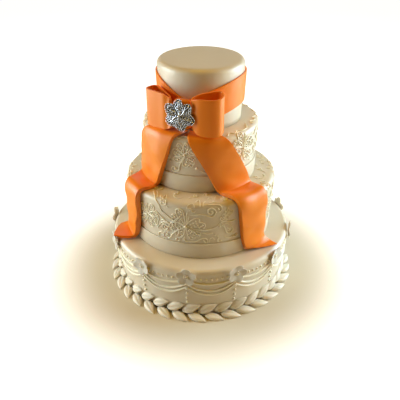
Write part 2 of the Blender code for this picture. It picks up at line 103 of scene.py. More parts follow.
def climb_place(tier, climb):
    """Radius and height at a climb, with the outward and the upward share of the skin's direction."""
    foot_radius, foot = wall_radius(tier, tier_foot(tier)), tier_foot(tier)
    rim_radius, rim = TIER_RADII[tier], TIER_TOPS[tier] - RIM_ROUNDING
    lean, rise = rim_radius - foot_radius, rim - foot
    wall = hypot(lean, rise)
    turn = (climb - wall) / RIM_ROUNDING
    if turn < 0:
        share = climb / wall
        return foot_radius + lean * share, foot + rise * share, rise / wall, -lean / wall
    if turn < pi / 2:
        inward = RIM_ROUNDING * (1 - cos(turn))
        return rim_radius - inward, rim + RIM_ROUNDING * sin(turn), cos(turn), sin(turn)
    return rim_radius - RIM_ROUNDING * (1 + turn - pi / 2), TIER_TOPS[tier], 0.0, 1.0


def on_tier(tier, azimuth, climb, lift):
    """A point that is lifted off a tier's icing along the skin's own direction."""
    radius, height, out, up = climb_place(tier, climb)
    return on_cake(azimuth, radius + lift * out, height + lift * up)


print("the bottom tier's rim starts", f"{1000 * (TIER_TOPS[0] - RIM_ROUNDING):.0f} mm up")

# %% [markdown]
# ## Camera
# The camera stands 0.71 m in front of the axis and 0.55 m up, and looks down by 31 degrees. The
# view was found by fitting the outlines of the four tiers. The picture is 400 pixels square and
# its focal length 526 pixels, and the lens in millimetres follows from those two numbers.

# %% The camera
scene = bpy.context.scene
PHOTO_SIDE = 400
FOCAL_PIXELS = 526.2
SENSOR_MM = 36.0
CAMERA_PLACE = (0.0, -0.7065, 0.5485)
LOOKS_DOWN, LOOKS_LEFT = 31.375, 0.126
camera_data = bpy.data.cameras.new("camera")
camera_data.sensor_width = SENSOR_MM
camera_data.lens = FOCAL_PIXELS * SENSOR_MM / PHOTO_SIDE
camera = bpy.data.objects.new("camera", camera_data)
camera.location = CAMERA_PLACE
camera.rotation_euler = (radians(90.0 - LOOKS_DOWN), 0.0, radians(LOOKS_LEFT))
scene.collection.objects.link(camera)
scene.camera = camera
print(f"lens {camera_data.lens:.1f} mm")

# %% [markdown]
# ## Colours and nodes
# Colours are written as the sRGB hex values that a colour picker shows, and one function turns
# them to the linear values that Blender's sockets take. One more function adds any node, for a
# material or for geometry, and gives each of its inputs a value or another node's output.

# %% Two helpers for materials and trees


def to_linear(hexa):
    """An sRGB hex value as linear red, green and blue, with an alpha of 1."""
    parts = [int(hexa[start : start + 2], 16) / 255 for start in (0, 2, 4)]
    return (*(part / 12.92 if part <= 0.04045 else ((part + 0.055) / 1.055) ** 2.4 for part in parts), 1.0)


def add_node(tree, kind, inputs=(), **settings):
    """Adds a node with its settings. Each input, by name or number, gets a value or an output."""
    made = tree.nodes.new(kind)
    for name, value in settings.items():
        setattr(made, name, value)
    for name, value in dict(inputs).items():
        if isinstance(value, bpy.types.NodeSocket):
            tree.links.new(value, made.inputs[name])
        else:
            made.inputs[name].default_value = value
    return made


print("mid grey 808080 is", round(to_linear("808080")[0], 3), "in linear light")

# %% [markdown]
# ## Light
# The picture has a large soft light close to each side of the cake: both flanks glow almost white
# while the front, which they only graze, stays a dim warm tan. The flat tops lie between the two,
# lit by something small and warm overhead. So there is a neutral softbox on the left, a cool one
# on the right and a little behind, a weak warm one in front of that, a weak one at the back, and
# a warm one above. Each one's watts and tint were solved from the fondant's colour in the picture.

# %% Softboxes
scene.view_settings.view_transform = "Standard"
CAKE_MIDDLE = Vector((0.0, 0.0, 0.17))


def softbox(name, azimuth, distance, height, side, watts, colour):
    """A square light that faces the middle of the cake."""
    light = bpy.data.lights.new(name, "AREA")
    light.size = side
    light.energy = watts
    light.color = to_linear(colour)[:3]
    holder = bpy.data.objects.new(name, light)
    holder.location = on_cake(azimuth, distance, height)
    holder.rotation_euler = (CAKE_MIDDLE - holder.location).to_track_quat("-Z", "Y").to_euler()
    scene.collection.objects.link(holder)


# The name, then the azimuth, the distance from the axis, the height, the side, watts and colour.
softbox("softbox_left", -90.0, 1.1, 0.30, 0.8, 16.3, "F4FFFF")
softbox("softbox_right", 100.0, 1.1, 0.40, 0.8, 21.0, "CEECFF")
softbox("softbox_right_front", 70.0, 1.1, 0.40, 0.8, 3.0, "FFC93C")
softbox("softbox_behind", 180.0, 1.5, 0.90, 1.2, 3.1, "F1FFF8")
softbox("softbox_above", 0.0, 0.24, 1.33, 0.6, 4.7, "FFC83C")
print("five softboxes face a point", CAKE_MIDDLE.z, "m up")

# %% The room
world = bpy.data.worlds.new("dim_room")
world.use_nodes = True
scene.world = world
room = world.node_tree.nodes["Background"]
ROOM_WHITE = to_linear("FFFEFB")
room.inputs["Color"].default_value = ROOM_WHITE
# The room hardly lights the cake, but the camera sees it white.
ROOM_LIGHT, ROOM_SEEN = 0.01, 1.0
in_view = add_node(world.node_tree, "ShaderNodeLightPath").outputs["Is Camera Ray"]
room_strength = add_node(
    world.node_tree, "ShaderNodeMapRange", {"Value": in_view, "To Min": ROOM_LIGHT, "To Max": ROOM_SEEN}
)
world.node_tree.links.new(room_strength.outputs[0], room.inputs["Strength"])
print("the room gives", ROOM_LIGHT, "and is seen at", ROOM_SEEN)

# %% [markdown]
# The floor is matt pale paper. To the camera alone it also gives off a light of its own, which
# keeps it white out to the far edge without throwing more light onto the cake. That light fades
# away close to the cake, so the soft shadow at its foot and between the leaves stays.

# %% The floor
FLOOR_HALF = 6.0
floor_finish = bpy.data.materials.new("matt_pale_paper")
floor_finish.use_nodes = True
paper = floor_finish.node_tree.nodes["Principled BSDF"]
paper.inputs["Base Color"].default_value = to_linear("DACFB9")
paper.inputs["Roughness"].default_value = 0.9
# The floor's own light starts at the first distance from the axis and is full at the second.
NEAR_CAKE, CLEAR_OF_CAKE = 0.15, 0.30
paper_tree = floor_finish.node_tree
seen = add_node(paper_tree, "ShaderNodeLightPath").outputs["Is Camera Ray"]
spot = add_node(paper_tree, "ShaderNodeTexCoord").outputs["Object"]
away = add_node(paper_tree, "ShaderNodeVectorMath", {0: spot}, operation="LENGTH").outputs["Value"]
faded = add_node(
    paper_tree,
    "ShaderNodeMapRange",
    {"Value": away, "From Min": NEAR_CAKE, "From Max": CLEAR_OF_CAKE, "To Max": ROOM_SEEN},
    interpolation_type="SMOOTHSTEP",
)
own_light = add_node(paper_tree, "ShaderNodeMath", {0: seen, 1: faded.outputs[0]}, operation="MULTIPLY")
paper.inputs["Emission Color"].default_value = ROOM_WHITE
paper_tree.links.new(own_light.outputs[0], paper.inputs["Emission Strength"])
corners = [(x * FLOOR_HALF, y * FLOOR_HALF, -GAP) for x, y in ((-1, -1), (1, -1), (1, 1), (-1, 1))]
floor_mesh = bpy.data.meshes.new("floor")
floor_mesh.from_pydata(corners, [], [(0, 1, 2, 3)])
floor_mesh.materials.append(floor_finish)
floor = bpy.data.objects.new("floor", floor_mesh)
scene.collection.objects.link(floor)
print("a floor of", 2 * FLOOR_HALF, "m")

# %% [markdown]
# ## Fondant and royal icing
# Rolled fondant is sugar, glycerine and gum, rolled out about 4 mm thick and polished by hand.
# Light goes a few millimetres into it, so its shadows are soft and warm, and its skin has a satin
# shine with the faintest marks of the palm. Royal icing is egg white and sugar: chalkier, with
# less shine and a fine grain. The lace and the pearls are brushed with pearl lustre, so they stand
# out from the ivory wall even in its shade. One function makes all of them, and the petal paste
# further down, from two noises: a wide one mixes two close tones, and a fine one moves the skin as
# a bump. Some of the light goes in and comes out again, red furthest, as in sugar.

# %% Icing
GLOW = 0.25
GLOW_COLOURS = (1.0, 0.72, 0.46)


def icing(name, light, dark, roughness, shine, patch_mm, grain_mm, grain_depth_mm, glow_mm):
    """Sugar in two close tones. Sizes in mm: its patches, its grain and how deep light goes."""
    made = bpy.data.materials.new(name)
    made.use_nodes = True
    tree = made.node_tree
    skin = tree.nodes["Principled BSDF"]
    place = add_node(tree, "ShaderNodeTexCoord").outputs["Object"]
    patches = add_node(tree, "ShaderNodeTexNoise", {"Vector": place, "Scale": 1000 / patch_mm, "Detail": 3.0})
    tones = add_node(
        tree,
        "ShaderNodeMix",
        {0: patches.outputs["Fac"], 6: to_linear(dark), 7: to_linear(light)},
        data_type="RGBA",
    )
    tree.links.new(tones.outputs[2], skin.inputs["Base Color"])
    grain = add_node(tree, "ShaderNodeTexNoise", {"Vector": place, "Scale": 1000 / grain_mm, "Detail": 4.0})
    bump = add_node(
        tree, "ShaderNodeBump", {"Height": grain.outputs["Fac"], "Distance": grain_depth_mm / 1000}
    )
    tree.links.new(bump.outputs["Normal"], skin.inputs["Normal"])
    skin.inputs["Roughness"].default_value = roughness
    skin.inputs["Specular IOR Level"].default_value = shine
    skin.inputs["Subsurface Weight"].default_value = GLOW
    skin.inputs["Subsurface Scale"].default_value = glow_mm / 1000
    skin.inputs["Subsurface Radius"].default_value = GLOW_COLOURS
    return made


print("red goes", round(GLOW_COLOURS[0] / GLOW_COLOURS[2], 1), "times as deep into icing as blue")

# %% Fondant and two kinds of royal icing
# Polished by hand: a satin skin, patches as wide as a palm, and grain that is hardly there.
FONDANT = icing(
    "rolled_fondant_ivory",
    "E6D9C3",
    "DECFB4",
    roughness=0.38,
    shine=0.85,
    patch_mm=70.0,
    grain_mm=6.0,
    grain_depth_mm=0.10,
    glow_mm=3.0,
)
# Pressed in a mould and left to dry: chalky, and a shade lighter than the fondant beside it. The
# real grain is under 0.1 mm, so here and in the next one it is drawn coarser, to show at all.
ROYAL_ICING = icing(
    "royal_icing_ivory",
    "F3E9D6",
    "EADDC4",
    roughness=0.42,
    shine=0.50,
    patch_mm=12.0,
    grain_mm=1.2,
    grain_depth_mm=0.06,
    glow_mm=2.0,
)
# Piped, then brushed with pearl lustre: almost white, with a soft gloss that draws each thread.
PEARL_ICING = icing(
    "royal_icing_pearl_lustre",
    "FFF5DF",
    "F8EACB",
    roughness=0.30,
    shine=0.60,
    patch_mm=5.0,
    grain_mm=0.8,
    grain_depth_mm=0.02,
    glow_mm=0.6,
)
print("icing:", FONDANT.name, ROYAL_ICING.name, PEARL_ICING.name)

# %% [markdown]
# ## Orange sugar paste
# The ribbon is modelling paste coloured with a gel. The gel makes it a strong orange in the
# shade and almost red inside a loop, where the light bounces from paste to paste. A little fat
# in the paste gives its skin a satin shine, and cornflour from the rolling lies on it as a faint
# dust, so a side that faces a softbox pales to peach. Sheen stands for that dust. The rolling pin
# leaves streaks about a centimetre wide, so a noise that is stretched upright varies the tone,
# the roughness and the bump together.

# %% Ribbon paste
STREAK_LENGTH = 4.0
STREAK_DEPTH, STREAK_STRENGTH = 0.0003, 0.6
PASTE_ROUGHNESS = (0.34, 0.46)


def ribbon_paste(name, light, dark, streak_mm):
    """Coloured modelling paste in two close tones, with streaks so many millimetres wide."""
    made = bpy.data.materials.new(name)
    made.use_nodes = True
    tree = made.node_tree
    skin = tree.nodes["Principled BSDF"]
    place = add_node(tree, "ShaderNodeTexCoord").outputs["Object"]
    long_way = add_node(tree, "ShaderNodeMapping", {"Vector": place, "Scale": (1.0, 1.0, 1 / STREAK_LENGTH)})
    streaks = add_node(
        tree, "ShaderNodeTexNoise", {"Vector": long_way.outputs[0], "Scale": 1000 / streak_mm, "Detail": 4.0}
    )
    tones = add_node(
        tree,
        "ShaderNodeMix",
        {0: streaks.outputs["Fac"], 6: to_linear(dark), 7: to_linear(light)},
        data_type="RGBA",
    )
    tree.links.new(tones.outputs[2], skin.inputs["Base Color"])
    smoothest, roughest = PASTE_ROUGHNESS
    rough = add_node(
        tree, "ShaderNodeMapRange", {"Value": streaks.outputs["Fac"], "To Min": smoothest, "To Max": roughest}
    )
    tree.links.new(rough.outputs[0], skin.inputs["Roughness"])
    bump = add_node(
        tree,
        "ShaderNodeBump",
        {"Height": streaks.outputs["Fac"], "Distance": STREAK_DEPTH, "Strength": STREAK_STRENGTH},
    )
    tree.links.new(bump.outputs["Normal"], skin.inputs["Normal"])
    skin.inputs["Subsurface Weight"].default_value = 0.15
    skin.inputs["Subsurface Scale"].default_value = 0.005
    skin.inputs["Subsurface Radius"].default_value = (1.0, 0.30, 0.05)
    skin.inputs["Specular IOR Level"].default_value = 0.55
    skin.inputs["Sheen Weight"].default_value = 0.35
    skin.inputs["Sheen Roughness"].default_value = 0.30
    skin.inputs["Sheen Tint"].default_value = to_linear("FFD8BC")
    return made


# Rolled thin and dusted with cornflour: strong in the shade, and pale where a softbox grazes it.
RIBBON_PASTE = ribbon_paste("orange_modelling_paste", "FF8E10", "FB8208", streak_mm=14.0)
print("ribbon:", RIBBON_PASTE.name)

# %% [markdown]
# ## Petal paste, silver and stones
# The flowers are petal paste, beige-white with a dusting of silver lustre. The brooch is cast
# silver, with its wires and balls over a plate of darker, duller silver. The stones in it have
# foil behind them, so each facet is a small mirror.

# %% Petal paste
# Rolled so thin that light hardly sinks in, then dusted with lustre: the sheen pales the rims.
PETAL_PASTE = icing(
    "petal_paste_silver_white",
    "E6DED0",
    "D6CCBA",
    roughness=0.42,
    shine=0.50,
    patch_mm=9.0,
    grain_mm=1.5,
    grain_depth_mm=0.05,
    glow_mm=0.6,
)
PETAL_PASTE.node_tree.nodes["Principled BSDF"].inputs["Sheen Weight"].default_value = 0.25
print("petals:", PETAL_PASTE.name)

# %% Silver and stones


def metal(name, light, dark, roughness, grain_mm, grain_depth_mm):
    """Metal whose noise sets how bright it is, so that polished and dull places lie side by side."""
    made = bpy.data.materials.new(name)
    made.use_nodes = True
    tree = made.node_tree
    skin = tree.nodes["Principled BSDF"]
    place = add_node(tree, "ShaderNodeTexCoord").outputs["Object"]
    grain = add_node(tree, "ShaderNodeTexNoise", {"Vector": place, "Scale": 1000 / grain_mm, "Detail": 2.0})
    tones = add_node(
        tree,
        "ShaderNodeMix",
        {0: grain.outputs["Fac"], 6: to_linear(dark), 7: to_linear(light)},
        data_type="RGBA",
    )
    tree.links.new(tones.outputs[2], skin.inputs["Base Color"])
    bump = add_node(
        tree, "ShaderNodeBump", {"Height": grain.outputs["Fac"], "Distance": grain_depth_mm / 1000}
    )
    tree.links.new(bump.outputs["Normal"], skin.inputs["Normal"])
    skin.inputs["Metallic"].default_value = 1.0
    skin.inputs["Roughness"].default_value = roughness
    return made


# Cast and then polished: bright and a little blurred, with the faint dimples of the casting.
SILVER = metal("cast_silver_polished", "F2F6FF", "D2D9E8", roughness=0.24, grain_mm=0.8, grain_depth_mm=0.03)
# A dull dark plate of silver behind the net, which the bright wires stand out from.
DARK_SILVER = metal(
    "silver_dark_plate", "5E5E64", "36363B", roughness=0.50, grain_mm=0.6, grain_depth_mm=0.08
)
# Cut glass with foil behind it: smooth flat facets, each as bright as what it faces.
STONE = metal("foil_backed_paste_stone", "FFFFFF", "DDE6F0", roughness=0.10, grain_mm=3.0, grain_depth_mm=0.0)
print("metals:", SILVER.name, DARK_SILVER.name, STONE.name)

# %% [markdown]
# ## How a piece is kept
# Some pieces are meshes with a few modifiers, others grow from a Geometry Nodes tree. Either way
# the result is turned into a plain mesh, because a plain mesh needs nothing else to be itself
# later. Each then rides on the cake's one body, and the solids it stands for are hidden.

# %% Keep a piece


def applied(mesh, *modifiers):
    """The mesh with modifiers applied. Each is a type with its settings."""
    holder = bpy.data.objects.new("holder", mesh)
    scene.collection.objects.link(holder)
    for kind, settings in modifiers:
        modifier = holder.modifiers.new(kind, kind)
        for name, value in settings.items():
            setattr(modifier, name, value)
    made = bpy.data.meshes.new_from_object(holder.evaluated_get(bpy.context.evaluated_depsgraph_get()))
    bpy.data.objects.remove(holder)
    return made


def keep_piece(name, mesh, slot, *nodes):
    """Makes the mesh a piece of the cake and hides the nodes it stands for. The slot is not used."""
    mesh.name = name
    piece = bpy.data.objects.new(name, mesh)
    scene.collection.objects.link(piece)
    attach(piece, "root")
    if nodes:
        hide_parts(*nodes)
    print(f"{name}: {len(mesh.polygons)} faces")


# %% Start, end and run a tree


def start_tree(name, values):
    """A tree with a geometry input and a named input for each value, and the outputs of its inputs."""
    tree = bpy.data.node_groups.new(name, "GeometryNodeTree")
    tree.interface.new_socket("Geometry", in_out="OUTPUT", socket_type="NodeSocketGeometry")
    tree.interface.new_socket("Geometry", in_out="INPUT", socket_type="NodeSocketGeometry")
    tree.interface.new_socket("Finish", in_out="INPUT", socket_type="NodeSocketMaterial")
    for label, value in values.items():
        kind = "NodeSocketInt" if isinstance(value, int) else "NodeSocketFloat"
        tree.interface.new_socket(label, in_out="INPUT", socket_type=kind).default_value = value
    return tree, add_node(tree, "NodeGroupInput").outputs


def end_tree(tree, geometry, finish, smooth=True):
    """Makes the instances real, sets how they are shaded and gives them their finish."""
    real = add_node(tree, "GeometryNodeRealizeInstances", {"Geometry": geometry})
    shaded = add_node(
        tree, "GeometryNodeSetShadeSmooth", {"Geometry": real.outputs[0], "Shade Smooth": smooth}
    )
    painted = add_node(tree, "GeometryNodeSetMaterial", {"Geometry": shaded.outputs[0], "Material": finish})
    add_node(tree, "NodeGroupOutput", {"Geometry": painted.outputs[0]})
    print(f"tree {tree.name}: {len(tree.nodes)} nodes")


def run_tree(tree, source, finish, values=()):
    """The plain mesh that a tree makes from a mesh or a curve."""
    holder = bpy.data.objects.new("holder", source)
    scene.collection.objects.link(holder)
    modifier = holder.modifiers.new(tree.name, "NODES")
    modifier.node_group = tree
    wanted = {"Finish": finish, **dict(values)}
    for item in tree.interface.items_tree:
        if item.in_out == "INPUT" and item.name in wanted:
            modifier[item.identifier] = wanted[item.name]
    made = bpy.data.meshes.new_from_object(holder.evaluated_get(bpy.context.evaluated_depsgraph_get()))
    bpy.data.objects.remove(holder)
    return made


# %% [markdown]
# ## The four tiers
# A tier is a solid of revolution: its outline goes over the top, round the rim, down the wall and
# under the foot. Sweeping that outline along a circle is a lathe, and a tree can do it with the
# number of sides as an input. A hand-smoothed wall isn't quite round, so a wide noise then moves
# the skin by a tenth of a millimetre or two, which is enough to bend the reflections a little.

# %% A lathe for icing
# The outline is swept along a circle of this radius, and is drawn that much further in.
SPINE = 0.05
# Points closer than this are merged, which closes a pole.
SAME_POINT = 0.00001
lathe, lathe_inputs = start_tree("icing_lathe", {"Sides": 192, "Wave Size": 0.045, "Wave Depth": 0.0004})
outline_curve = add_node(lathe, "GeometryNodeMeshToCurve", {"Mesh": lathe_inputs["Geometry"]})
round_way = add_node(
    lathe, "GeometryNodeCurvePrimitiveCircle", {"Resolution": lathe_inputs["Sides"], "Radius": SPINE}
)
turned = add_node(
    lathe,
    "GeometryNodeCurveToMesh",
    {"Curve": round_way.outputs[0], "Profile Curve": outline_curve.outputs[0]},
)
closed = add_node(
    lathe, "GeometryNodeMergeByDistance", {"Geometry": turned.outputs[0], "Distance": SAME_POINT}
)
wave_scale = add_node(lathe, "ShaderNodeMath", {0: 1.0, 1: lathe_inputs["Wave Size"]}, operation="DIVIDE")
wave = add_node(lathe, "ShaderNodeTexNoise", {"Scale": wave_scale.outputs[0], "Detail": 1.0})
centred = add_node(lathe, "ShaderNodeMath", {0: wave.outputs["Fac"], 1: 0.5}, operation="SUBTRACT")
depth = add_node(
    lathe, "ShaderNodeMath", {0: centred.outputs[0], 1: lathe_inputs["Wave Depth"]}, operation="MULTIPLY"
)
skin_way = add_node(lathe, "GeometryNodeInputNormal")
push = add_node(
    lathe, "ShaderNodeVectorMath", {0: skin_way.outputs[0], "Scale": depth.outputs[0]}, operation="SCALE"
)
moved = add_node(lathe, "GeometryNodeSetPosition", {"Geometry": closed.outputs[0], "Offset": push.outputs[0]})
end_tree(lathe, moved.outputs[0], lathe_inputs["Finish"])


def outline_mesh(places):
    """The lathe's outline through (radius, height) places, which go down the outside."""
    mesh = bpy.data.meshes.new("outline")
    edges = [(step, step + 1) for step in range(len(places) - 1)]
    mesh.from_pydata([(radius - SPINE, -height, 0.0) for radius, height in places], edges, [])
    return mesh


# %% Turn the tiers
WALL_STEPS = 12
RIM_STEPS = 8
TOP_STEPS = 6
for tier in range(len(TIER_RADII)):
    wall_length = hypot(TIER_RADII[tier] * (1 - FOOT_SHARE), TIER_TOPS[tier] - RIM_ROUNDING - tier_foot(tier))
    rim_end = wall_length + RIM_ROUNDING * pi / 2
    flat = TIER_RADII[tier] - RIM_ROUNDING
    climbs = [wall_length * step / WALL_STEPS for step in range(WALL_STEPS)]
    climbs += [wall_length + RIM_ROUNDING * pi / 2 * step / RIM_STEPS for step in range(RIM_STEPS + 1)]
    climbs += [rim_end + flat * step / TOP_STEPS for step in range(1, TOP_STEPS + 1)]
    places = [climb_place(tier, climb)[:2] for climb in reversed(climbs)]
    places[0] = (0.0, TIER_TOPS[tier])
    places.append((0.0, tier_foot(tier)))
    fondant = run_tree(lathe, outline_mesh(places), FONDANT)
    keep_piece(f"fondant_tier_{tier + 1}", fondant, "fondant", f"tier_{tier + 1}")

# %% [markdown]
# A smooth strip of fondant goes round the foot of the second and the third tier. It is the same
# lathe with another outline: a flat back just clear of the wall, and a face with soft corners.

# %% The foot bands
BAND_HEIGHTS = {1: 0.0256, 2: 0.0266}
BAND_THICKNESS = 0.0018
BAND_CORNER, CORNER_STEPS = 0.0007, 3
BAND_WAVE = 0.0002
for tier, height in BAND_HEIGHTS.items():
    foot = TIER_TOPS[tier - 1] + 2 * GAP
    top = foot + height
    inner_top, inner_foot = wall_radius(tier, top) + GAP, wall_radius(tier, foot) + GAP
    outer_top, outer_foot = inner_top + BAND_THICKNESS, inner_foot + BAND_THICKNESS
    places = [(inner_top, top), (outer_top - BAND_CORNER, top)]
    for step in range(1, CORNER_STEPS + 1):
        turn = pi / 2 * step / CORNER_STEPS
        places.append((outer_top - BAND_CORNER * (1 - sin(turn)), top - BAND_CORNER * (1 - cos(turn))))
    places += [(outer_foot, foot + BAND_CORNER), (outer_foot - BAND_CORNER, foot), (inner_foot, foot)]
    places.append((inner_top, top))
    band = run_tree(lathe, outline_mesh(places), FONDANT, {"Wave Depth": BAND_WAVE})
    keep_piece(f"fondant_band_{tier + 1}", band, "fondant", f"band_{tier + 1}")

# %% [markdown]
# ## Piped lines and dots
# A line of royal icing is a tube along its path, thinner where the nozzle was lifted off, and
# partly sunk in the fondant. Curve to Mesh sweeps a small circle along each path and scales it by
# the path's own radius. A dot is a small ball set on a point, scaled by an attribute of that
# point. With these two trees, all the lace, swags and pearls are only lists of paths and points.

# %% A tree for piped lines
piped, piped_inputs = start_tree("piped_lines", {"Line Radius": 0.0008, "Line Sides": 6})
nozzle = add_node(
    piped,
    "GeometryNodeCurvePrimitiveCircle",
    {"Resolution": piped_inputs["Line Sides"], "Radius": piped_inputs["Line Radius"]},
)
own_radius = add_node(piped, "GeometryNodeInputRadius")
swept = add_node(
    piped,
    "GeometryNodeCurveToMesh",
    {
        "Curve": piped_inputs["Geometry"],
        "Profile Curve": nozzle.outputs[0],
        "Scale": own_radius.outputs[0],
        "Fill Caps": True,
    },
)
end_tree(piped, swept.outputs[0], piped_inputs["Finish"])


def paths_curve(paths):
    """Open paths of (point, radius share) as one curve."""
    curve = bpy.data.curves.new("paths", "CURVE")
    curve.dimensions = "3D"
    for path in paths:
        spline = curve.splines.new("POLY")
        spline.points.add(len(path) - 1)
        for place, (point, share) in zip(spline.points, path):
            place.co = (*point, 1.0)
            place.radius = share
    return curve


# %% A tree for dots and pearls
dotted, dotted_inputs = start_tree("dots", {"Roundness": 2})
ball = add_node(
    dotted, "GeometryNodeMeshIcoSphere", {"Radius": 1.0, "Subdivisions": dotted_inputs["Roundness"]}
)
own_size = add_node(dotted, "GeometryNodeInputNamedAttribute", {"Name": "dot_radius"}, data_type="FLOAT")
balls = add_node(
    dotted,
    "GeometryNodeInstanceOnPoints",
    {"Points": dotted_inputs["Geometry"], "Instance": ball.outputs[0], "Scale": own_size.outputs[0]},
)
end_tree(dotted, balls.outputs[0], dotted_inputs["Finish"])


def dots_mesh(dots):
    """Loose points with their radii, from (point, radius) pairs."""
    mesh = bpy.data.meshes.new("dots")
    mesh.from_pydata([point for point, _ in dots], [], [])
    radii = mesh.attributes.new("dot_radius", "FLOAT", "POINT")
    radii.data.foreach_set("value", [radius for _, radius in dots])
    return mesh


# %% [markdown]
# ## Swags and pearls on the bottom tier
# From flower to flower hang three strands, each a parabola that is lowest halfway. A row of small
# pearls follows the same kind of curve above them, and a short string of pearls drops from each
# flower. They are piped on the wall, so each strand's height also sets its radius on the cone.

# %% Swags
STRAND_RADIUS = 0.0017
STRAND_LIFT = 0.0010
# The height of each strand's ends, and how far it drops halfway.
STRAND_ENDS_AND_DROPS = ((0.055, 0.0150), (0.0615, 0.0138), (0.067, 0.0065))
STRAND_STEPS = 16
# A strand's thickness at its ends, and how much it gains halfway.
STRAND_THIN, STRAND_SWELL = 0.8, 0.2


def hanging(end, drop, share):
    """The height of something that hangs, at a share of the way from one end to the other."""
    return end - drop * (1 - (2 * share - 1) ** 2)


strands = []
for flower in range(FLOWER_COUNT):
    for end, drop in STRAND_ENDS_AND_DROPS:
        path = []
        for step in range(STRAND_STEPS + 1):
            share = step / STRAND_STEPS
            height = hanging(end, drop, share)
            azimuth = FLOWER_PHASE + FLOWER_SPACING * (flower + share)
            point = on_cake(azimuth, wall_radius(0, height) + STRAND_LIFT, height)
            path.append((point, STRAND_THIN + STRAND_SWELL * sin(pi * share)))
        strands.append(path)
swags = run_tree(piped, paths_curve(strands), PEARL_ICING, {"Line Radius": STRAND_RADIUS, "Line Sides": 10})
keep_piece("swag_strands", swags, "royal_icing", "tier_1")

# %% Pearls
PEARL_ROW_ENDS, PEARL_ROW_DROP = 0.0745, 0.0050
PEARL_ROW_COUNT, PEARL_ROW_PITCH = 7, 3.17
PEARL_RADIUS = 0.0018
# A pearl's middle stands off the wall by this share of its radius, so the rest is sunk in.
PEARL_OUT = 0.5
# The height and the radius of each pearl under a flower.
HANGING_PEARLS = ((0.0520, 0.0022), (0.0428, 0.0021), (0.0334, 0.0020), (0.0245, 0.0019))
pearls = []
for flower in range(FLOWER_COUNT):
    azimuth = FLOWER_PHASE + FLOWER_SPACING * flower
    for height, radius in HANGING_PEARLS:
        pearls.append((on_cake(azimuth, wall_radius(0, height) + radius * PEARL_OUT, height), radius))
    for place in range(PEARL_ROW_COUNT):
        offset = FLOWER_SPACING / 2 + PEARL_ROW_PITCH * (place - (PEARL_ROW_COUNT - 1) / 2)
        height = hanging(PEARL_ROW_ENDS, PEARL_ROW_DROP, offset / FLOWER_SPACING)
        stand = wall_radius(0, height) + PEARL_RADIUS * PEARL_OUT
        pearls.append((on_cake(azimuth + offset, stand, height), PEARL_RADIUS))
keep_piece("swag_pearls", run_tree(dotted, dots_mesh(pearls), PEARL_ICING), "royal_icing", "tier_1")

# %% [markdown]
# ## Lace motifs
# The lace is drawn first as a baker would on paper, in millimetres: x runs round the cake and y
# up the wall. A motif is a list of lines and a list of dots. A few small ones, such as a petal
# filled with dots, a scroll, a ring and a sprig, are turned, moved and gathered into a group.
# A bigger group is then repeated round each tier.

# %% A smooth line through points


def between(a, b, c, d, t):
    """The curve from b to c, with a before them and d after, at a share t (Catmull-Rom)."""
    bend, turn_back = 2 * a - 5 * b + 4 * c - d, 3 * b - a - 3 * c + d
    return 0.5 * (2 * b + (c - a) * t + bend * t**2 + turn_back * t**3)


def smooth_path(points, steps, closed=False):
    """A curve through tuples of numbers, with so many steps from each to the next."""
    count = len(points)
    path = []
    for start in range(count if closed else count - 1):
        near = [start + offset for offset in (-1, 0, 1, 2)]
        p, q, r, s = (points[i % count] if closed else points[min(max(i, 0), count - 1)] for i in near)
        for step in range(steps):
            path.append(tuple(between(*numbers, step / steps) for numbers in zip(p, q, r, s)))
    return path if closed else [*path, tuple(points[-1])]


print("three points make", len(smooth_path([(0, 0), (1, 2), (3, 1)], 4)), "on a smooth line")

# %% Lines and groups
LINE_STEPS = 4


def line(*points, width=1.0):
    """A motif of one smooth line. Its width is a share of a plain line's."""
    return {"lines": [(smooth_path(points, LINE_STEPS), width)], "dots": []}


def loose_dots(*dots):
    """Dots alone, each at x and y with a radius."""
    return {"lines": [], "dots": list(dots)}


def gather(*motifs):
    """Several motifs as one."""
    return {part: [item for motif in motifs for item in motif[part]] for part in ("lines", "dots")}


def moved_motif(motif, x, y, turn=0.0, size=1.0, flip=1.0):
    """A motif turned by degrees, scaled and moved. A flip of -1 mirrors it left to right first."""
    c, s = cos(radians(turn)) * size, sin(radians(turn)) * size

    def go(point):
        across = point[0] * flip
        return (x + across * c - point[1] * s, y + across * s + point[1] * c)

    return {
        "lines": [([go(point) for point in path], width) for path, width in motif["lines"]],
        "dots": [(*go(dot[:2]), dot[2] * size) for dot in motif["dots"]],
    }


print("a line of three points has", len(line((0, 0), (1, 2), (3, 1))["lines"][0][0]), "points")

# %% Petals, scrolls and rings
PETAL_DOT = 1.25
# A scroll's points for each turn, how much of its radius it loses, and the dot at its end.
SCROLL_STEPS, SCROLL_WINDS_IN, SCROLL_DOT = 14, 0.78, 0.9
RING_STEPS = 12


def petal(outline, dots=()):
    """A closed outline through a few points, with single dots inside."""
    edge = smooth_path(outline, LINE_STEPS, closed=True)
    return {"lines": [([*edge, edge[0]], 1.0)], "dots": [(x, y, PETAL_DOT) for x, y in dots]}


def scroll(radius, turns, way=1.0):
    """A spiral that winds in round the origin from the right-hand side."""
    steps = int(SCROLL_STEPS * turns)
    path = []
    for step in range(steps + 1):
        share = step / steps
        turn = way * 2 * pi * turns * share
        reach = radius * (1 - SCROLL_WINDS_IN * share)
        path.append((reach * cos(turn), reach * sin(turn)))
    return {"lines": [(path, 1.0)], "dots": [(0.0, 0.0, SCROLL_DOT)]}


def ring(radius, heart):
    """A circle round a dot with the heart's radius."""
    turns = [2 * pi * step / RING_STEPS for step in range(RING_STEPS + 1)]
    path = [(radius * cos(turn), radius * sin(turn)) for turn in turns]
    return {"lines": [(path, 1.0)], "dots": [(0.0, 0.0, heart)]}


print("a scroll of two turns has", len(scroll(5.0, 2.0)["lines"][0][0]), "points")

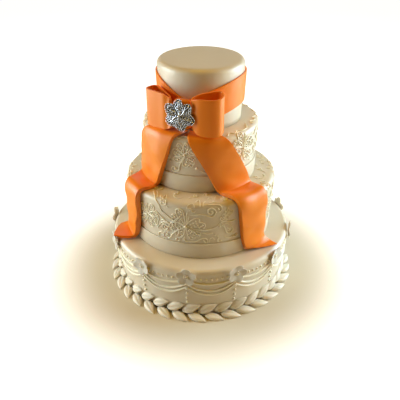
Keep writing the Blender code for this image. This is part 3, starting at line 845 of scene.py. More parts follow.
# %% Sprigs
# A leaflet's half width and its widest place, as shares of its length, and its turn off the stem.
LEAFLET_WIDE, LEAFLET_WIDEST = 0.21, 0.45
LEAFLET_TURN = 50.0
STEM_STEPS, STEM_WIDTH = 3, 0.9


def small_leaf(length):
    """A pointed leaf from the origin to the right."""
    wide, widest = length * LEAFLET_WIDE, length * LEAFLET_WIDEST
    return petal([(0, 0), (widest, wide), (length, 0), (widest, -wide)])


def sprig(points, leaf_length):
    """A stem through the points with a small leaf to each side at every second step along it."""
    stem = smooth_path(points, STEM_STEPS)
    made = {"lines": [(stem, STEM_WIDTH)], "dots": []}
    for before, (x, y), after in zip(stem[::2], stem[1::2], stem[2::2]):
        way = degrees(atan2(after[1] - before[1], after[0] - before[0]))
        for side in (LEAFLET_TURN, -LEAFLET_TURN):
            made = gather(made, moved_motif(small_leaf(leaf_length), x, y, turn=way + side))
    return made


print("a sprig has", len(sprig([(0, 0), (10, 10)], 6.0)["lines"]), "lines")

# %% [markdown]
# Soft icing clings to the wall and settles on it, so each line and dot is set on the tier with its
# middle less than its radius off the skin. A line thins at both its ends, where the nozzle touches
# down and where it lifts off.

# %% Lay a group of motifs round a tier
# How far the middle of a line and of a dot stands off the skin, as a share of its radius.
LINE_OUT, DOT_OUT = 0.6, 0.625
LINE_END = 0.7


def lay_lace(name, tier, group, centre_azimuth, centre_climb, repeats, line_radius):
    """Repeats a group round a tier and pipes it. Its origin goes to the azimuth and the climb."""
    paths, dots = [], []
    for repeat in range(repeats):
        azimuth = centre_azimuth + 360.0 * repeat / repeats
        for points, width in group["lines"]:
            path = []
            for step, (x, y) in enumerate(points):
                place = azimuth + degrees(x / 1000 / TIER_RADII[tier])
                end = LINE_END if step in (0, len(points) - 1) else 1.0
                point = on_tier(tier, place, centre_climb + y / 1000, line_radius * LINE_OUT)
                path.append((point, width * end))
            paths.append(path)
        for x, y, size in group["dots"]:
            place = azimuth + degrees(x / 1000 / TIER_RADII[tier])
            point = on_tier(tier, place, centre_climb + y / 1000, size * DOT_OUT / 1000)
            dots.append((point, size / 1000))
    piped_lines = run_tree(piped, paths_curve(paths), PEARL_ICING, {"Line Radius": line_radius})
    keep_piece(f"lace_lines_{name}", piped_lines, "royal_icing", f"tier_{tier + 1}")
    piped_dots = run_tree(dotted, dots_mesh(dots), PEARL_ICING)
    keep_piece(f"lace_dots_{name}", piped_dots, "royal_icing", f"tier_{tier + 1}")


# %% [markdown]
# ## The second tier's lace
# The front of this tier has one large flower. Its six petals are lobed, like a butterfly's wings,
# and each is filled with separate dots. A stem comes down to it from the rim on its left, past a
# looped curl, and a branch with a bud leaves it below. To its right a long line runs to a spiral
# under a hook, and a lower one to a sprig and a rosette. The origin is the flower's heart.

# %% The large lobed flower
right_petal = petal(
    [(1, 2), (6, 9), (11, 13.5), (16, 15), (19, 13), (19, 8.5)]
    + [(23, 7.5), (26.5, 5), (27, 1), (24, -3), (16, -4.5), (8, -3)],
    [(14.5, 10), (11, 6.5), (7.5, 3.5), (13, 2), (17, 3), (21, 2), (24, 3.5), (8, -0.5), (15, 6), (19, -1)],
)
low_right_petal = petal(
    [(1, -2), (8, -5.5), (14, -7.5), (19, -8.5), (21, -12)]
    + [(19, -17), (14, -17.5), (12, -21), (6, -22), (2, -14)],
    [(4, -7.5), (8.5, -8.5), (7, -12), (3.5, -13), (11, -14)]
    + [(15, -12), (18, -13), (5, -18), (9, -17.5), (13, -10)],
)
low_left_petal = petal(
    [(-1, -2), (-2, -10), (-4, -16), (-8, -20.5), (-13, -19.5), (-16, -15), (-14, -10.5), (-8, -6)],
    [(-6, -10), (-10.5, -14), (-10, -9.5), (-7, -15), (-12, -17)],
)
left_petal = petal(
    [(-2, 0), (-9, -6), (-15, -10.5), (-20, -10.5), (-24, -6), (-24, -1), (-20, 3), (-13, 4), (-6, 2.5)],
    [(-19, -3), (-17.5, -7), (-14, -2), (-8, -2), (-11, -5.5), (-21, -6.5), (-14, 1.5), (-18.5, 0.5)],
)
upper_left_petal = petal(
    [(-2, 2), (-8, 4.5), (-15, 5.5), (-19, 8), (-21, 12.5), (-19, 17), (-15, 17.5), (-11, 14), (-5, 8)],
    [(-18.5, 12), (-13, 9), (-8.5, 8), (-15, 14), (-15.5, 7.5), (-17, 15.5), (-11, 11.5)],
)
upper_petal = petal(
    [(-1, 4), (-5, 9), (-11, 15.5), (-13.5, 21), (-13, 26.5), (-8, 28.5), (-4, 26), (-2.5, 20), (-1.5, 12)],
    [(-9.5, 22), (-5.5, 19.5), (-8, 15.5), (-5, 13), (-9, 26), (-6, 23.5)],
)
large_flower = gather(
    right_petal,
    low_right_petal,
    low_left_petal,
    left_petal,
    upper_left_petal,
    upper_petal,
    line((0, 2), (2, 12), (1.5, 19), (3, 24), width=0.9),
    line((1, 2), (4, 12), (5, 19), width=0.9),
    loose_dots((0, 0, 2.2), (3.5, 1, 1.1), (-3.5, 1, 1.1), (1, -3, 1.1), (1, 3.5, 1.1)),
)
print("the large flower has", len(large_flower["dots"]), "dots")

# %% The stem, its curl and the bud branch
STEM = 1.05
stem_and_curl = gather(
    line(
        (-60, 45), (-50, 38), (-45, 33), (-39.5, 28), (-36.5, 19.5), (-29, 14), (-22, 9), (-16, 5),
        width=STEM,
    ),
    line((-56, 48), (-50, 45), (-46, 40), (-44.5, 36.5), width=0.7),
    line((-36.5, 32), (-35, 29.5), (-31.5, 29), (-28.5, 31), (-28.8, 34.5), (-31, 36.5), (-33.5, 34.5)),
    line((-34, 36.5), (-36.5, 40), (-37.5, 44), (-35.5, 46.5), (-32.5, 44), (-31, 40)),
    line((-42.5, 42.5), (-41, 40), (-38, 38)),
    loose_dots((-36.5, 34.8, 1.3), (-26, 28, 1.0), (-31.5, 33, 0.9)),
)
bud_branch = gather(
    line((-15, -10), (-17, -14), (-20.5, -17.5), (-22.5, -21.5), (-25, -25), (-29, -28), width=1.15),
    line((-32, -17.5), (-35, -20), (-36, -24), (-34, -27.5), (-30.5, -28.5)),
    moved_motif(small_leaf(7.0), -30.0, -26.0, turn=84),
    line((-45.5, 15), (-41, 10.5), (-37, 8), (-32, 4), width=1.1),
    line((-46, 11), (-43, 7), (-42, 2), (-44.5, -3)),
    line((-27, 1), (-33, 0), (-38, -3), (-42, -8), (-46, -15)),
    line((-24, -1), (-28, 2), (-34, 3.5), (-39, 1)),
    moved_motif(ring(4.6, 1.3), -32, -8),
    line((-38, -19), (-42, -20.5), (-45, -24), (-43, -28)),
    loose_dots((-43, 7, 1.1), (-49, -3, 1.1), (-48, 4, 1.1)),
    loose_dots((-26, -6, 1.0), (-27, -13, 1.0), (-40, -13, 1.0)),
)
print("the stem and its curl have", len(stem_and_curl["lines"]), "lines")

# %% To the right of the flower
spiral_and_hook = gather(
    line((8, 20), (16, 20.8), (24, 21), (30, 19), (36, 16.6), (40, 20), (41.3, 25), (39, 29.5), (35, 31.5)),
    line((35, 31.5), (31, 29), (30.5, 25), (32.5, 22), (36, 22), (37, 25), (34.5, 26.5)),
    line((31, 35.5), (39, 35.5), (46, 34.5), (49.5, 31), (49.5, 27), (46.5, 25)),
    line((33, 38.5), (41, 38.5), (48, 37)),
    loose_dots((45, 29, 1.3), (46.5, 25, 1.3), (42, 24, 1.0), (39, 40, 1.2)),
)
sprig_and_rosette = gather(
    line((20, -5), (28, -5.5), (35, -4), (41, -2), (46, 1.5), (50, 6)),
    line((16, -8.5), (21, -9.2), (27, -11.5), (33, -12.5), (37, -11)),
    moved_motif(sprig([(50, 6), (54, 13), (58, 19), (63, 25)], 7.5), 0, 0),
    line((51, 7), (58, 5.3), (66, 4.7), (73, 6)),
    line((54, -1), (57, -8), (58.5, -13), (62, -15.5), (66.5, -13), (67.5, -7.5), (64, -2), (60, 1), (56, 3)),
    line((59.5, -5.5), (63, -9), (61.5, -11), (59.8, -8.5)),
    loose_dots((51, 6.5, 1.3), (51.5, 1.3, 1.2), (48, -1.5, 1.1)),
    loose_dots((42, -15, 1.5), (45.5, -18, 1.3), (36.8, -11.5, 1.2)),
)
print("the sprig and the rosette have", len(sprig_and_rosette["lines"]), "lines")

# %% Along the foot and the rim
# The lines that go over the rim are finer: this share of a plain line.
RIM_LINE = 0.62
lower_edge = gather(
    line((-2, -20), (-3, -23), (-1, -26), (3, -26.5)),
    line(
        (3, -26.5), (9, -27), (14, -26), (19, -23), (24, -20), (29, -21), (31, -25), (29, -28.5), (26.5, -27)
    ),
    line((24.5, -23), (26.5, -25.5), (28, -27.5)),
    line((33, -28), (34, -23), (36, -20), (39, -20.5), (41, -24)),
    line((47, -21.5), (45.3, -25), (46.5, -28), (50, -28.5), (51.5, -26)),
    line((56, -20), (60, -23), (66, -23.5), (70, -20)),
    moved_motif(scroll(4.0, 1.1), 74, -22, turn=160),
    moved_motif(scroll(3.6, 1.0, -1.0), -14, -25.5, turn=30),
)
rim_scrolls = gather(
    line((2, 29), (3, 34), (7, 37), (11, 36), (12.5, 32), width=RIM_LINE),
    line((4, 29.5), (6, 31), (8.5, 30), width=RIM_LINE),
    line((5, 26), (7.5, 28.5), (9, 26), (12.5, 25), (14, 27.5), width=RIM_LINE),
    line((13.5, 40), (15.5, 45), (18.5, 45), (20, 39), (20, 33), width=RIM_LINE),
    line((24, 33.5), (24.5, 39), (28, 42), width=RIM_LINE),
    line((31, 47), (34, 51), (39, 50), (42, 44), (43, 49), (46, 53), width=RIM_LINE),
    moved_motif(scroll(4.5, 1.2), 12, 56, turn=60),
    moved_motif(scroll(4.0, 1.1, -1.0), 30, 60, turn=200),
    line((0, 47), (4, 52), (9, 52), width=RIM_LINE),
    line((-26, 52), (-21, 47), (-14, 46), (-9, 50), width=RIM_LINE),
    moved_motif(scroll(4.5, 1.2, -1.0), -24, 57, turn=90),
    moved_motif(small_leaf(8.0), -58, 52, turn=60),
    moved_motif(small_leaf(8.0), -62, 50, turn=120),
    moved_motif(sprig([(52, 40), (58, 46), (66, 49)], 6.0), 0, 0),
)
print("the rim has", len(rim_scrolls["lines"]), "lines")

# %% Lay the second tier's lace
side_flower = moved_motif(large_flower, -64, 1, turn=-12.0, size=0.85, flip=-1.0)
second_group = gather(
    large_flower,
    side_flower,
    stem_and_curl,
    bud_branch,
    spiral_and_hook,
    sprig_and_rosette,
    lower_edge,
    rim_scrolls,
)
LACE_LINE = 0.00075
lay_lace(
    "tier_2", 1, second_group, centre_azimuth=-11.0, centre_climb=0.0564, repeats=4, line_radius=LACE_LINE
)

# %% [markdown]
# ## The third tier's lace
# In the gap between the ribbon's tails shows a smaller flower of the same kind. Its stem leaves
# it below in one long stroke that ends in a curl, and a single large dot stands to its right.
# Past the right-hand tail there is a flower like the second tier's. The two take turns round
# the tier, with spirals and sprigs between them.

# %% The smaller flower
small_flower = gather(
    petal(
        [(2, -1), (8, -1), (12.5, -4), (14, -8.5), (12.5, -13), (10, -16)]
        + [(6.5, -13.5), (4, -16.5), (0, -17), (-3, -14), (-2, -7)],
        [(8, -5), (4, -8.5), (9, -10), (1.5, -12.5), (5, -4), (11.5, -7)],
    ),
    petal(
        [(-2, -3), (-4, -9), (-10, -11.5), (-15, -9.5), (-16.5, -5.5), (-12, -3), (-6, -2)],
        [(-6, -5), (-9.5, -7.5), (-13, -6.5)],
    ),
    petal(
        [(-1, 1), (-7, -1.5), (-12, -1), (-16, 2), (-17, 6), (-13.5, 9), (-9, 7.5), (-4, 4)],
        [(-6, 0.8), (-10, 3), (-13.5, 4.5)],
    ),
    petal(
        [(0, 2), (-5, 6), (-9, 10.5), (-10, 15), (-7, 18), (-3, 16), (-1, 9)],
        [(-7, 13.5), (-4.5, 10), (-2.5, 7)],
    ),
    petal([(1, 3), (-1, 10), (0, 16), (3, 20), (6, 16), (5, 10)], [(3, 16.5), (2.5, 12)]),
    petal([(3, 3), (6, 6.5), (9.5, 11), (13, 12), (16, 8), (14, 3), (8, 1)], [(10, 7), (12.5, 5), (7, 4)]),
    line(
        (4, 6.5), (2, 3), (-1, -5), (-4, -9.5), (-6.5, -14), (-8, -19), (-8.5, -23), (-11, -26), (-15, -27.5),
        width=1.15,
    ),
    line((-15, -27.5), (-19, -26), (-20, -22.5), (-17.5, -19.5), (-14, -20.5), (-14.5, -23)),
    loose_dots((0.5, 1.5, 1.8), (-14, -22, 1.9), (16.5, -18, 1.7), (15, -2.5, 1.1)),
)
print("the smaller flower has", len(small_flower["dots"]), "dots")

# %% Lay the third tier's lace
third_group = gather(
    small_flower,
    moved_motif(large_flower, 87, 2, turn=0.0, size=0.9),
    moved_motif(spiral_and_hook, 16, -10, size=0.85),
    moved_motif(sprig([(0, 0), (5, 8), (12, 14)], 7.0), 46, 4),
    line((24, -14), (34, -18), (45, -17), (55, -9), (62, 1)),
    line((22, -22), (30, -25), (38, -22), (40, -26)),
    moved_motif(ring(4.6, 1.3), 52, -20),
    line((101, -14), (108, -19), (117, -18), (123, -11)),
    line((104, -22), (112, -26), (121, -25), (127, -20)),
    moved_motif(scroll(6.0, 1.4, -1.0), 119, -8, turn=80),
    line((112, 14), (118, 20), (127, 19), (131, 12)),
    moved_motif(scroll(5.5, 1.3), 129, 6, turn=150),
    moved_motif(sprig([(0, 0), (6, 6), (14, 8)], 6.5), 134, -16),
    moved_motif(scroll(4.0, 1.1), 76, -24, turn=20),
    moved_motif(scroll(4.0, 1.1, -1.0), 90, -25, turn=200),
    line((-22, 24), (-15, 28), (-8, 24), (-2, 28), (5, 27)),
    line((60, 26), (66, 31), (73, 27), (80, 31), (88, 28), (97, 28), (104, 31), (112, 36)),
    line((20, 26), (27, 31), (35, 27), (44, 31), (52, 27)),
    line((118, 28), (125, 33), (133, 28), (141, 32), (149, 28)),
)
lay_lace(
    "tier_3", 2, third_group, centre_azimuth=-15.9, centre_climb=0.057, repeats=3, line_radius=LACE_LINE
)

# %% [markdown]
# ## A skin through rows of points
# What is shaped by hand is drawn as rows of points: across a ribbon, round a leaf or round a knot.
# Joining each row to the next gives the skin, and a row of one point draws an end together. The
# ribbon, the knot, the flowers and the leaves all start this way, so two helpers do it for them.

# %% Join rows of points


def skin_through(rows, closed=True):
    """Faces from each row of points to the next, all the way round where the rows are closed."""
    build = bmesh.new()
    grid = [[build.verts.new(point) for point in row] for row in rows]
    for first, second in zip(grid, grid[1:]):
        across = max(len(first), len(second))
        for step in range(across if closed else across - 1):
            near, far = step % len(first), step % len(second)
            next_near, next_far = (step + 1) % len(first), (step + 1) % len(second)
            corners = (first[near], first[next_near], second[next_far], second[far])
            build.faces.new(dict.fromkeys(corners))
    return build


def as_mesh(build, name, finish, turn_out=True):
    """The skin as a mesh with its finish, and its faces turned outwards first if asked."""
    if turn_out:
        bmesh.ops.recalc_face_normals(build, faces=build.faces)
    mesh = bpy.data.meshes.new(name)
    build.to_mesh(mesh)
    build.free()
    mesh.materials.append(finish)
    return mesh


flat_square = skin_through([[(0, 0, 0), (1, 0, 0)], [(0, 1, 0), (1, 1, 0)]], closed=False)
print("two rows of two points make", len(flat_square.faces), "face")
flat_square.free()

# %% [markdown]
# ## Ribbon
# Apart from the knot, every piece of the bow is a sheet of paste about 2 mm thick. Each starts as
# a skin on one face, and Solidify gives it its wall. A Bevel rounds the cut edges by half a
# millimetre, and it is those edges that catch the thin bright line along each ribbon. The ribbon
# round the top tier is the plainest: its upper edge dips in a V to the knot.

# %% A sheet of paste
RIBBON_WIDTH = 0.041
RIBBON_THICKNESS = 0.0024
OUTWARDS, INWARDS = 1, -1
CUT_EDGE = {
    "width": 0.0005,
    "segments": 2,
    "limit_method": "ANGLE",
    "angle_limit": radians(50),
    "harden_normals": True,
}
# A loop's outer face looks away from its own middle. A tail's looks away from a point on the axis
# that is this far below the tail's middle.
HUB_DROP = 0.05


def sheet(rows, closed, side, thickness=RIBBON_THICKNESS):
    """A sheet of paste: the skin through the rows, made thick to one side of it."""
    build = skin_through(rows, closed)
    build.normal_update()
    face = build.faces[:][len(build.faces) // 2]
    points = [Vector(point) for row in rows for point in row]
    middle = sum(points, Vector()) / len(points)
    hub = middle if closed else Vector((0.0, 0.0, middle.z - HUB_DROP))
    if face.normal.dot(face.calc_center_median() - hub) < 0:
        bmesh.ops.reverse_faces(build, faces=build.faces)
    mesh = as_mesh(build, "sheet", RIBBON_PASTE, turn_out=False)
    mesh.shade_smooth()
    return applied(
        mesh,
        ("SOLIDIFY", {"thickness": thickness, "offset": side, "use_even_offset": True}),
        ("BEVEL", CUT_EDGE),
    )


print(f"the ribbon is {1000 * RIBBON_WIDTH:.0f} mm wide")


# %% The ribbon round the top tier
WRAP_LOW, WRAP_CLIMB = 0.303, 0.026
LEFT_STEEPNESS = 1.35
WRAP_SIDES = 180
WRAP_LEVELS = 5


def wrap_top(azimuth):
    """The height of the upper edge: low at the knot, and level from a quarter turn away."""
    from_knot = (azimuth - KNOT_AZIMUTH + 180.0) % 360.0 - 180.0
    steepness = 1.0 if from_knot > 0 else LEFT_STEEPNESS
    return WRAP_LOW + WRAP_CLIMB * sin(radians(min(steepness * abs(from_knot), 90.0)))


wrap_rows = []
for level in range(WRAP_LEVELS):
    row = []
    for side in range(WRAP_SIDES):
        azimuth = FLOWER_PHASE + 360.0 * side / WRAP_SIDES
        top = wrap_top(azimuth)
        bottom = max(top - RIBBON_WIDTH, TIER_TOPS[2] + 3 * GAP)
        height = bottom + (top - bottom) * level / (WRAP_LEVELS - 1)
        row.append(on_cake(azimuth, wall_radius(3, height) + 2 * GAP, height))
    wrap_rows.append(row)
ribbon_wrap = sheet(wrap_rows, closed=True, side=OUTWARDS)
keep_piece("ribbon_round_tier_4", ribbon_wrap, "ribbon_paste", "ribbon_wrap")

# %% [markdown]
# ## The two loops
# A loop of the bow is a band that stands on edge, so it is drawn in plan, as a cook would see it
# from above: a closed outline in millimetres right and forward of the axis. Towards the knot the
# band is gathered. There its edges draw in and its face folds into pleats.

# %% Loops from above
# Each place is right and forward of the axis in mm, and how full the band is there, from 0 to 1.
RIGHT_LOOP = (
    (-12.4, 75.3, 0.0),
    (-8.5, 80.5, 0.5),
    (-2.5, 84.3, 0.9),
    (7.0, 86.6, 1.0),
    (16.5, 87.2, 1.0),
    (24.5, 84.2, 1.0),
    (28.9, 77.5, 1.0),
    (29.0, 69.0, 1.0),
    (23.0, 64.0, 1.0),
    (12.0, 65.5, 0.9),
    (0.0, 67.0, 0.6),
    (-8.8, 68.0, 0.0),
)
LEFT_LOOP = (
    (-39.5, 67.0, 0.0),
    (-44.0, 65.0, 0.5),
    (-49.5, 62.6, 0.9),
    (-56.0, 57.6, 1.0),
    (-64.0, 51.6, 1.0),
    (-70.8, 45.5, 1.0),
    (-72.3, 41.0, 1.0),
    (-70.0, 36.5, 1.0),
    (-63.0, 30.8, 1.0),
    (-56.5, 33.0, 1.0),
    (-50.0, 41.5, 0.8),
    (-43.5, 49.5, 0.4),
    (-38.3, 56.0, 0.0),
)
print("places:", len(RIGHT_LOOP), "on the right loop,", len(LEFT_LOOP), "on the left")

# %% Loops
LOOP_BOTTOM, LOOP_TOP = 0.2642, 0.3145
# At the knot, how far each edge draws in, and how deep and how many the pleats are.
LOOP_PINCH = 0.006
PLEAT_DEPTH = 0.0009
PLEATS = 2.5
LOOP_LEVELS = 13
PLAN_STEPS = 6


def loop_rows(plan, back_lift):
    """The band's rows from its lower to its upper edge, lifted towards the back by a share."""
    front = max(place[1] for place in plan)
    path = smooth_path(plan, PLAN_STEPS, closed=True)
    rows = []
    for level in range(LOOP_LEVELS):
        up = level / (LOOP_LEVELS - 1)
        row = []
        for step, (right, forward, fullness) in enumerate(path):
            before, after = path[step - 1], path[(step + 1) % len(path)]
            out = Vector((after[1] - before[1], after[0] - before[0])).normalized()
            fullness = min(max(fullness, 0.0), 1.0)
            pleat = PLEAT_DEPTH * (1 - fullness) * cos(2 * pi * PLEATS * up)
            drawn_in = LOOP_PINCH * (1 - fullness)
            lift = back_lift * (front - forward) / 1000
            height = LOOP_BOTTOM + drawn_in + (LOOP_TOP - LOOP_BOTTOM - 2 * drawn_in) * up + lift
            row.append(Vector((right / 1000 + out[0] * pleat, -forward / 1000 + out[1] * pleat, height)))
        rows.append(row)
    return rows


right_loop = sheet(loop_rows(RIGHT_LOOP, back_lift=0.20), closed=True, side=INWARDS)
keep_piece("bow_right", right_loop, "ribbon_paste", "bow_loop_right")
left_loop = sheet(loop_rows(LEFT_LOOP, back_lift=0.03), closed=True, side=INWARDS)
keep_piece("bow_left", left_loop, "ribbon_paste", "bow_loop_left")

# %% [markdown]
# ## The knot
# The knot is one more turn of ribbon, wrapped over the middle of the bow and squeezed, so it is a
# soft block with upright pleats. It is drawn as a ball whose sines and cosines are raised to powers
# below 1, which squares it off. Most of it is behind the brooch.

# %% A piece that faces outwards, and the knot
# Half its width, depth and height, and the radius and height of its middle on the cake.
KNOT_HALF = (0.0130, 0.0070, 0.020)
KNOT_PLACE = (0.0703, 0.289)
KNOT_LEVELS, KNOT_SIDES = 16, 40
# The powers: the smaller, the squarer. One is for the plan, two narrow it to its ends, one is upright.
PLAN_POWER, WIDTH_POWER, DEPTH_POWER, HEIGHT_POWER = 0.55, 0.30, 0.45, 0.8
KNOT_PLEATS, KNOT_PLEAT_SHARE = 3.0, 0.10


def squared(value, power):
    """A sine or cosine moved out towards 1 or -1."""
    return abs(value) ** power * (1 if value >= 0 else -1)


def set_on_cake(azimuth, radius, height):
    """The move and the turn that set a piece on the cake so that it faces outwards."""
    return Matrix.Translation(on_cake(azimuth, radius, height)) @ Matrix.Rotation(radians(azimuth), 4, "Z")


knot_rows = []
for level in range(KNOT_LEVELS + 1):
    turn = pi * level / KNOT_LEVELS - pi / 2
    row = []
    for side in range(KNOT_SIDES):
        way = 2 * pi * side / KNOT_SIDES
        across = squared(cos(way), PLAN_POWER) * abs(cos(turn)) ** WIDTH_POWER
        forward = squared(sin(way), PLAN_POWER) * abs(cos(turn)) ** DEPTH_POWER
        up = squared(sin(turn), HEIGHT_POWER)
        ridge = 1 - KNOT_PLEAT_SHARE * (0.5 + 0.5 * cos(2 * pi * KNOT_PLEATS * across))
        row.append(Vector((KNOT_HALF[0] * across, -KNOT_HALF[1] * forward * ridge, KNOT_HALF[2] * up)))
    knot_rows.append(row)
build = skin_through(knot_rows)
bmesh.ops.remove_doubles(build, verts=build.verts, dist=SAME_POINT)
knot_mesh = as_mesh(build, "knot", RIBBON_PASTE)
knot_mesh.transform(set_on_cake(KNOT_AZIMUTH, *KNOT_PLACE))
knot_mesh.shade_smooth()
keep_piece("bow_knot", knot_mesh, "ribbon_paste", "knot")

# %% [markdown]
# ## The tails
# Each tail is laid down the cake from the knot: across a top, over a rim, down a wall, across the
# next top and down again. It is described at stations. Each has the places of the tail's two
# edges, how far its middle arches off the cake, and which way that arch points. The section
# between the edges is nearly flat, with its margins rolled back to the cake. A wide noise adds the
# slight waves that hands leave in soft paste, of a millimetre or two at most.

# %% Tail stations
# At each: the azimuth, radius and height of the left edge, the same three of the right edge, the
# arch, and how far the arch's direction is turned up from outwards. In mm and degrees.
LEFT_TAIL = (
    (-40, 62.0, 261.2, -17, 62.0, 261.2, 0.0, 90),
    (-49, 74.0, 261.4, -21, 74.0, 261.4, 1.6, 88),
    (-58, 81.6, 259.9, -25, 81.6, 259.9, 3.0, 58),
    (-66, 83.6, 251.0, -28.5, 83.6, 251.0, 4.2, 12),
    (-71, 82.2, 229.0, -33.5, 82.2, 229.0, 5.5, 0),
    (-76, 82.0, 205.0, -39.5, 82.0, 205.0, 6.0, 0),
    (-79.5, 82.2, 189.0, -43.5, 82.2, 189.0, 5.0, 5),
    (-81, 84.5, 182.0, -45.5, 84.5, 181.0, 3.6, 40),
    (-78.5, 88.5, 178.9, -46.2, 88.5, 178.4, 2.6, 82),
    (-74.5, 95.0, 178.4, -46, 95.0, 178.0, 2.4, 88),
    (-70.5, 102.0, 178.6, -46.5, 102.0, 178.4, 3.0, 88),
    (-67.5, 109.7, 176.4, -49, 109.7, 176.4, 5.0, 50),
    (-66.8, 112.1, 167.0, -50.2, 112.1, 167.0, 6.6, 10),
    (-67.8, 110.2, 145.0, -52, 110.2, 145.0, 6.8, 0),
    (-68.5, 108.9, 120.0, -54.2, 108.9, 120.0, 6.8, 0),
    (-70.5, 108.7, 103.0, -57, 108.7, 103.0, 6.4, 5),
    (-76, 109.5, 92.0, -59.6, 109.5, 92.0, 5.2, 25),
    (-80.5, 113.0, 86.4, -60.5, 115.5, 87.0, 3.0, 60),
    (-82, 120.5, 85.2, -61.5, 128.0, 88.0, 1.5, 85),
    (-81, 127.0, 85.4, -64.0, 145.0, 93.6, 0.4, 90),
)
RIGHT_TAIL = (
    (-14, 62.0, 261.2, 10, 62.0, 261.2, 0.0, 90),
    (-12.5, 74.0, 261.4, 16, 74.0, 261.4, 0.3, 88),
    (-11.5, 81.6, 259.9, 21, 81.6, 259.9, 1.5, 55),
    (-9, 83.6, 251.0, 27, 83.6, 251.0, 3.5, 10),
    (-0.5, 82.2, 229.0, 36, 82.2, 229.0, 5.0, 0),
    (8, 82.0, 205.0, 45, 82.0, 205.0, 5.0, 0),
    (13.2, 82.2, 189.0, 50.5, 82.2, 189.0, 4.2, 5),
    (16, 84.8, 181.5, 52.2, 84.8, 181.5, 3.0, 42),
    (18, 89.0, 178.5, 52.0, 89.0, 178.8, 2.4, 82),
    (20.5, 95.5, 178.0, 51.2, 95.5, 178.6, 2.4, 88),
    (23, 102.0, 178.3, 50.6, 102.0, 178.8, 3.0, 88),
    (25.5, 109.7, 176.4, 50.4, 109.7, 176.4, 5.5, 50),
    (27.5, 112.1, 167.0, 50.8, 112.1, 167.0, 6.2, 10),
    (29.5, 110.2, 145.0, 53.0, 110.2, 145.0, 5.8, 0),
    (31.5, 108.9, 120.0, 53.6, 108.9, 120.0, 5.4, 0),
    (33.5, 108.2, 103.0, 54.0, 108.7, 103.0, 4.8, 5),
    (35, 109.3, 92.0, 55.0, 111.5, 92.0, 4.5, 30),
    (35.8, 108.2, 90.0, 56.8, 121.0, 86.6, 1.8, 50),
    (36.7, 108.0, 87.4, 57, 134.0, 85.2, 0.5, 80),
)
print("stations:", len(LEFT_TAIL), "on the left tail,", len(RIGHT_TAIL), "on the right")

# %% Tails
# Half of the section: how far across from the middle, and how much of the arch is left there.
HALF_SECTION = (
    (0.0, 0.96),
    (0.16, 0.965),
    (0.32, 0.975),
    (0.48, 0.985),
    (0.64, 0.995),
    (0.78, 1.0),
    (0.89, 1.0),
    (0.965, 0.98),
    (0.985, 0.5),
    (1.0, 0.0),
)
TAIL_THICKNESS = 0.0016
TAIL_STEPS = 4
# The most that a wave can rise or sink, and the size of the noise that it follows.
HAND_WAVE = 0.0020
HAND_WAVE_SIZE = 0.020


def tail_rows(stations):
    """The tail's rows from the knot to its end, each from its left to its right edge."""
    section = [(-across, rise) for across, rise in reversed(HALF_SECTION[1:])] + list(HALF_SECTION)
    rows = []
    for left_azimuth, left_radius, left_height, *rest in smooth_path(stations, TAIL_STEPS):
        right_azimuth, right_radius, right_height, arch, tilt = rest
        row = []
        for across, rise in section:
            share = (across + 1) / 2
            azimuth = left_azimuth + (right_azimuth - left_azimuth) * share
            off = outward(azimuth) * cos(radians(tilt)) + UP * sin(radians(tilt))
            flat = on_cake(
                azimuth,
                (left_radius + (right_radius - left_radius) * share) / 1000,
                (left_height + (right_height - left_height) * share) / 1000,
            )
            # No wave at the edges, and less where the arch is under 2 mm.
            wave = HAND_WAVE * noise.noise(flat / HAND_WAVE_SIZE) * min(rise, arch / 2)
            row.append(flat + off * (arch / 1000 * rise + wave))
        rows.append(row)
    return rows


left_tail = sheet(tail_rows(LEFT_TAIL), closed=False, side=OUTWARDS, thickness=TAIL_THICKNESS)
keep_piece("bow_tail_left", left_tail, "ribbon_paste", "tail_left")
right_tail = sheet(tail_rows(RIGHT_TAIL), closed=False, side=OUTWARDS, thickness=TAIL_THICKNESS)
keep_piece("bow_tail_right", right_tail, "ribbon_paste", "tail_right")

# %% [markdown]
# ## The brooch
# A cast brooch the size of a large coin: six pointed lobes of filigree round a boss, each edged
# with a row of tiny balls. It is an open grid of wires and balls over a dark plate, and it is the
# gaps between them, each some two millimetres wide, that make it sparkle. Round balls and round
# wires catch the softboxes from any side, where a flat piece would only mirror the dim front. It
# is drawn flat, with x to the right and z up, in millimetres, and slightly domed.

# %% Brooch outline
# Each lobe's turn clockwise from the top, and its reach from the middle in mm.
LOBES = ((-2, 22.2), (42, 22.4), (109, 22.2), (171, 21.6), (234, 22.2), (304, 22.8))
# The outline's reach between two lobes, as a share of theirs, and how pointed the lobes are.
VALLEY_SHARE, LOBE_POWER = 0.74, 1.5
# The dome's height in the middle in mm, and how much of it is gone at the tip of a lobe.
DOME_RISE, DOME_FALL = 3.2, 0.75
BROOCH_PLACE = (0.0799, 0.2905)
brooch_to_cake = set_on_cake(KNOT_AZIMUTH, *BROOCH_PLACE)


def on_brooch(x, z, lift):
    """A point on the domed face, in metres, from millimetres across, up and off the plate."""
    forward = DOME_RISE * (1 - DOME_FALL * (hypot(x, z) / LOBES[0][1]) ** 2) + lift
    return Vector((x, -forward, z)) / 1000


def brooch_reach(turn):
    """How far the outline reaches, in millimetres, clockwise from the top."""
    turns = [lobe for lobe, _ in LOBES]
    after = next((place for place, lobe in enumerate(turns) if lobe > turn), 0)
    (low_turn, low), (high_turn, high) = LOBES[after - 1], LOBES[after]
    gap = (high_turn - low_turn) % 360
    share = ((turn - low_turn) % 360) / gap
    nearest = low if share < 0.5 else high
    return nearest * (VALLEY_SHARE + (1 - VALLEY_SHARE) * abs(cos(pi * share)) ** LOBE_POWER)


def flat_point(turn, reach):
    """Millimetres across and up, from a turn clockwise from the top and a reach."""
    return reach * sin(radians(turn)), reach * cos(radians(turn))


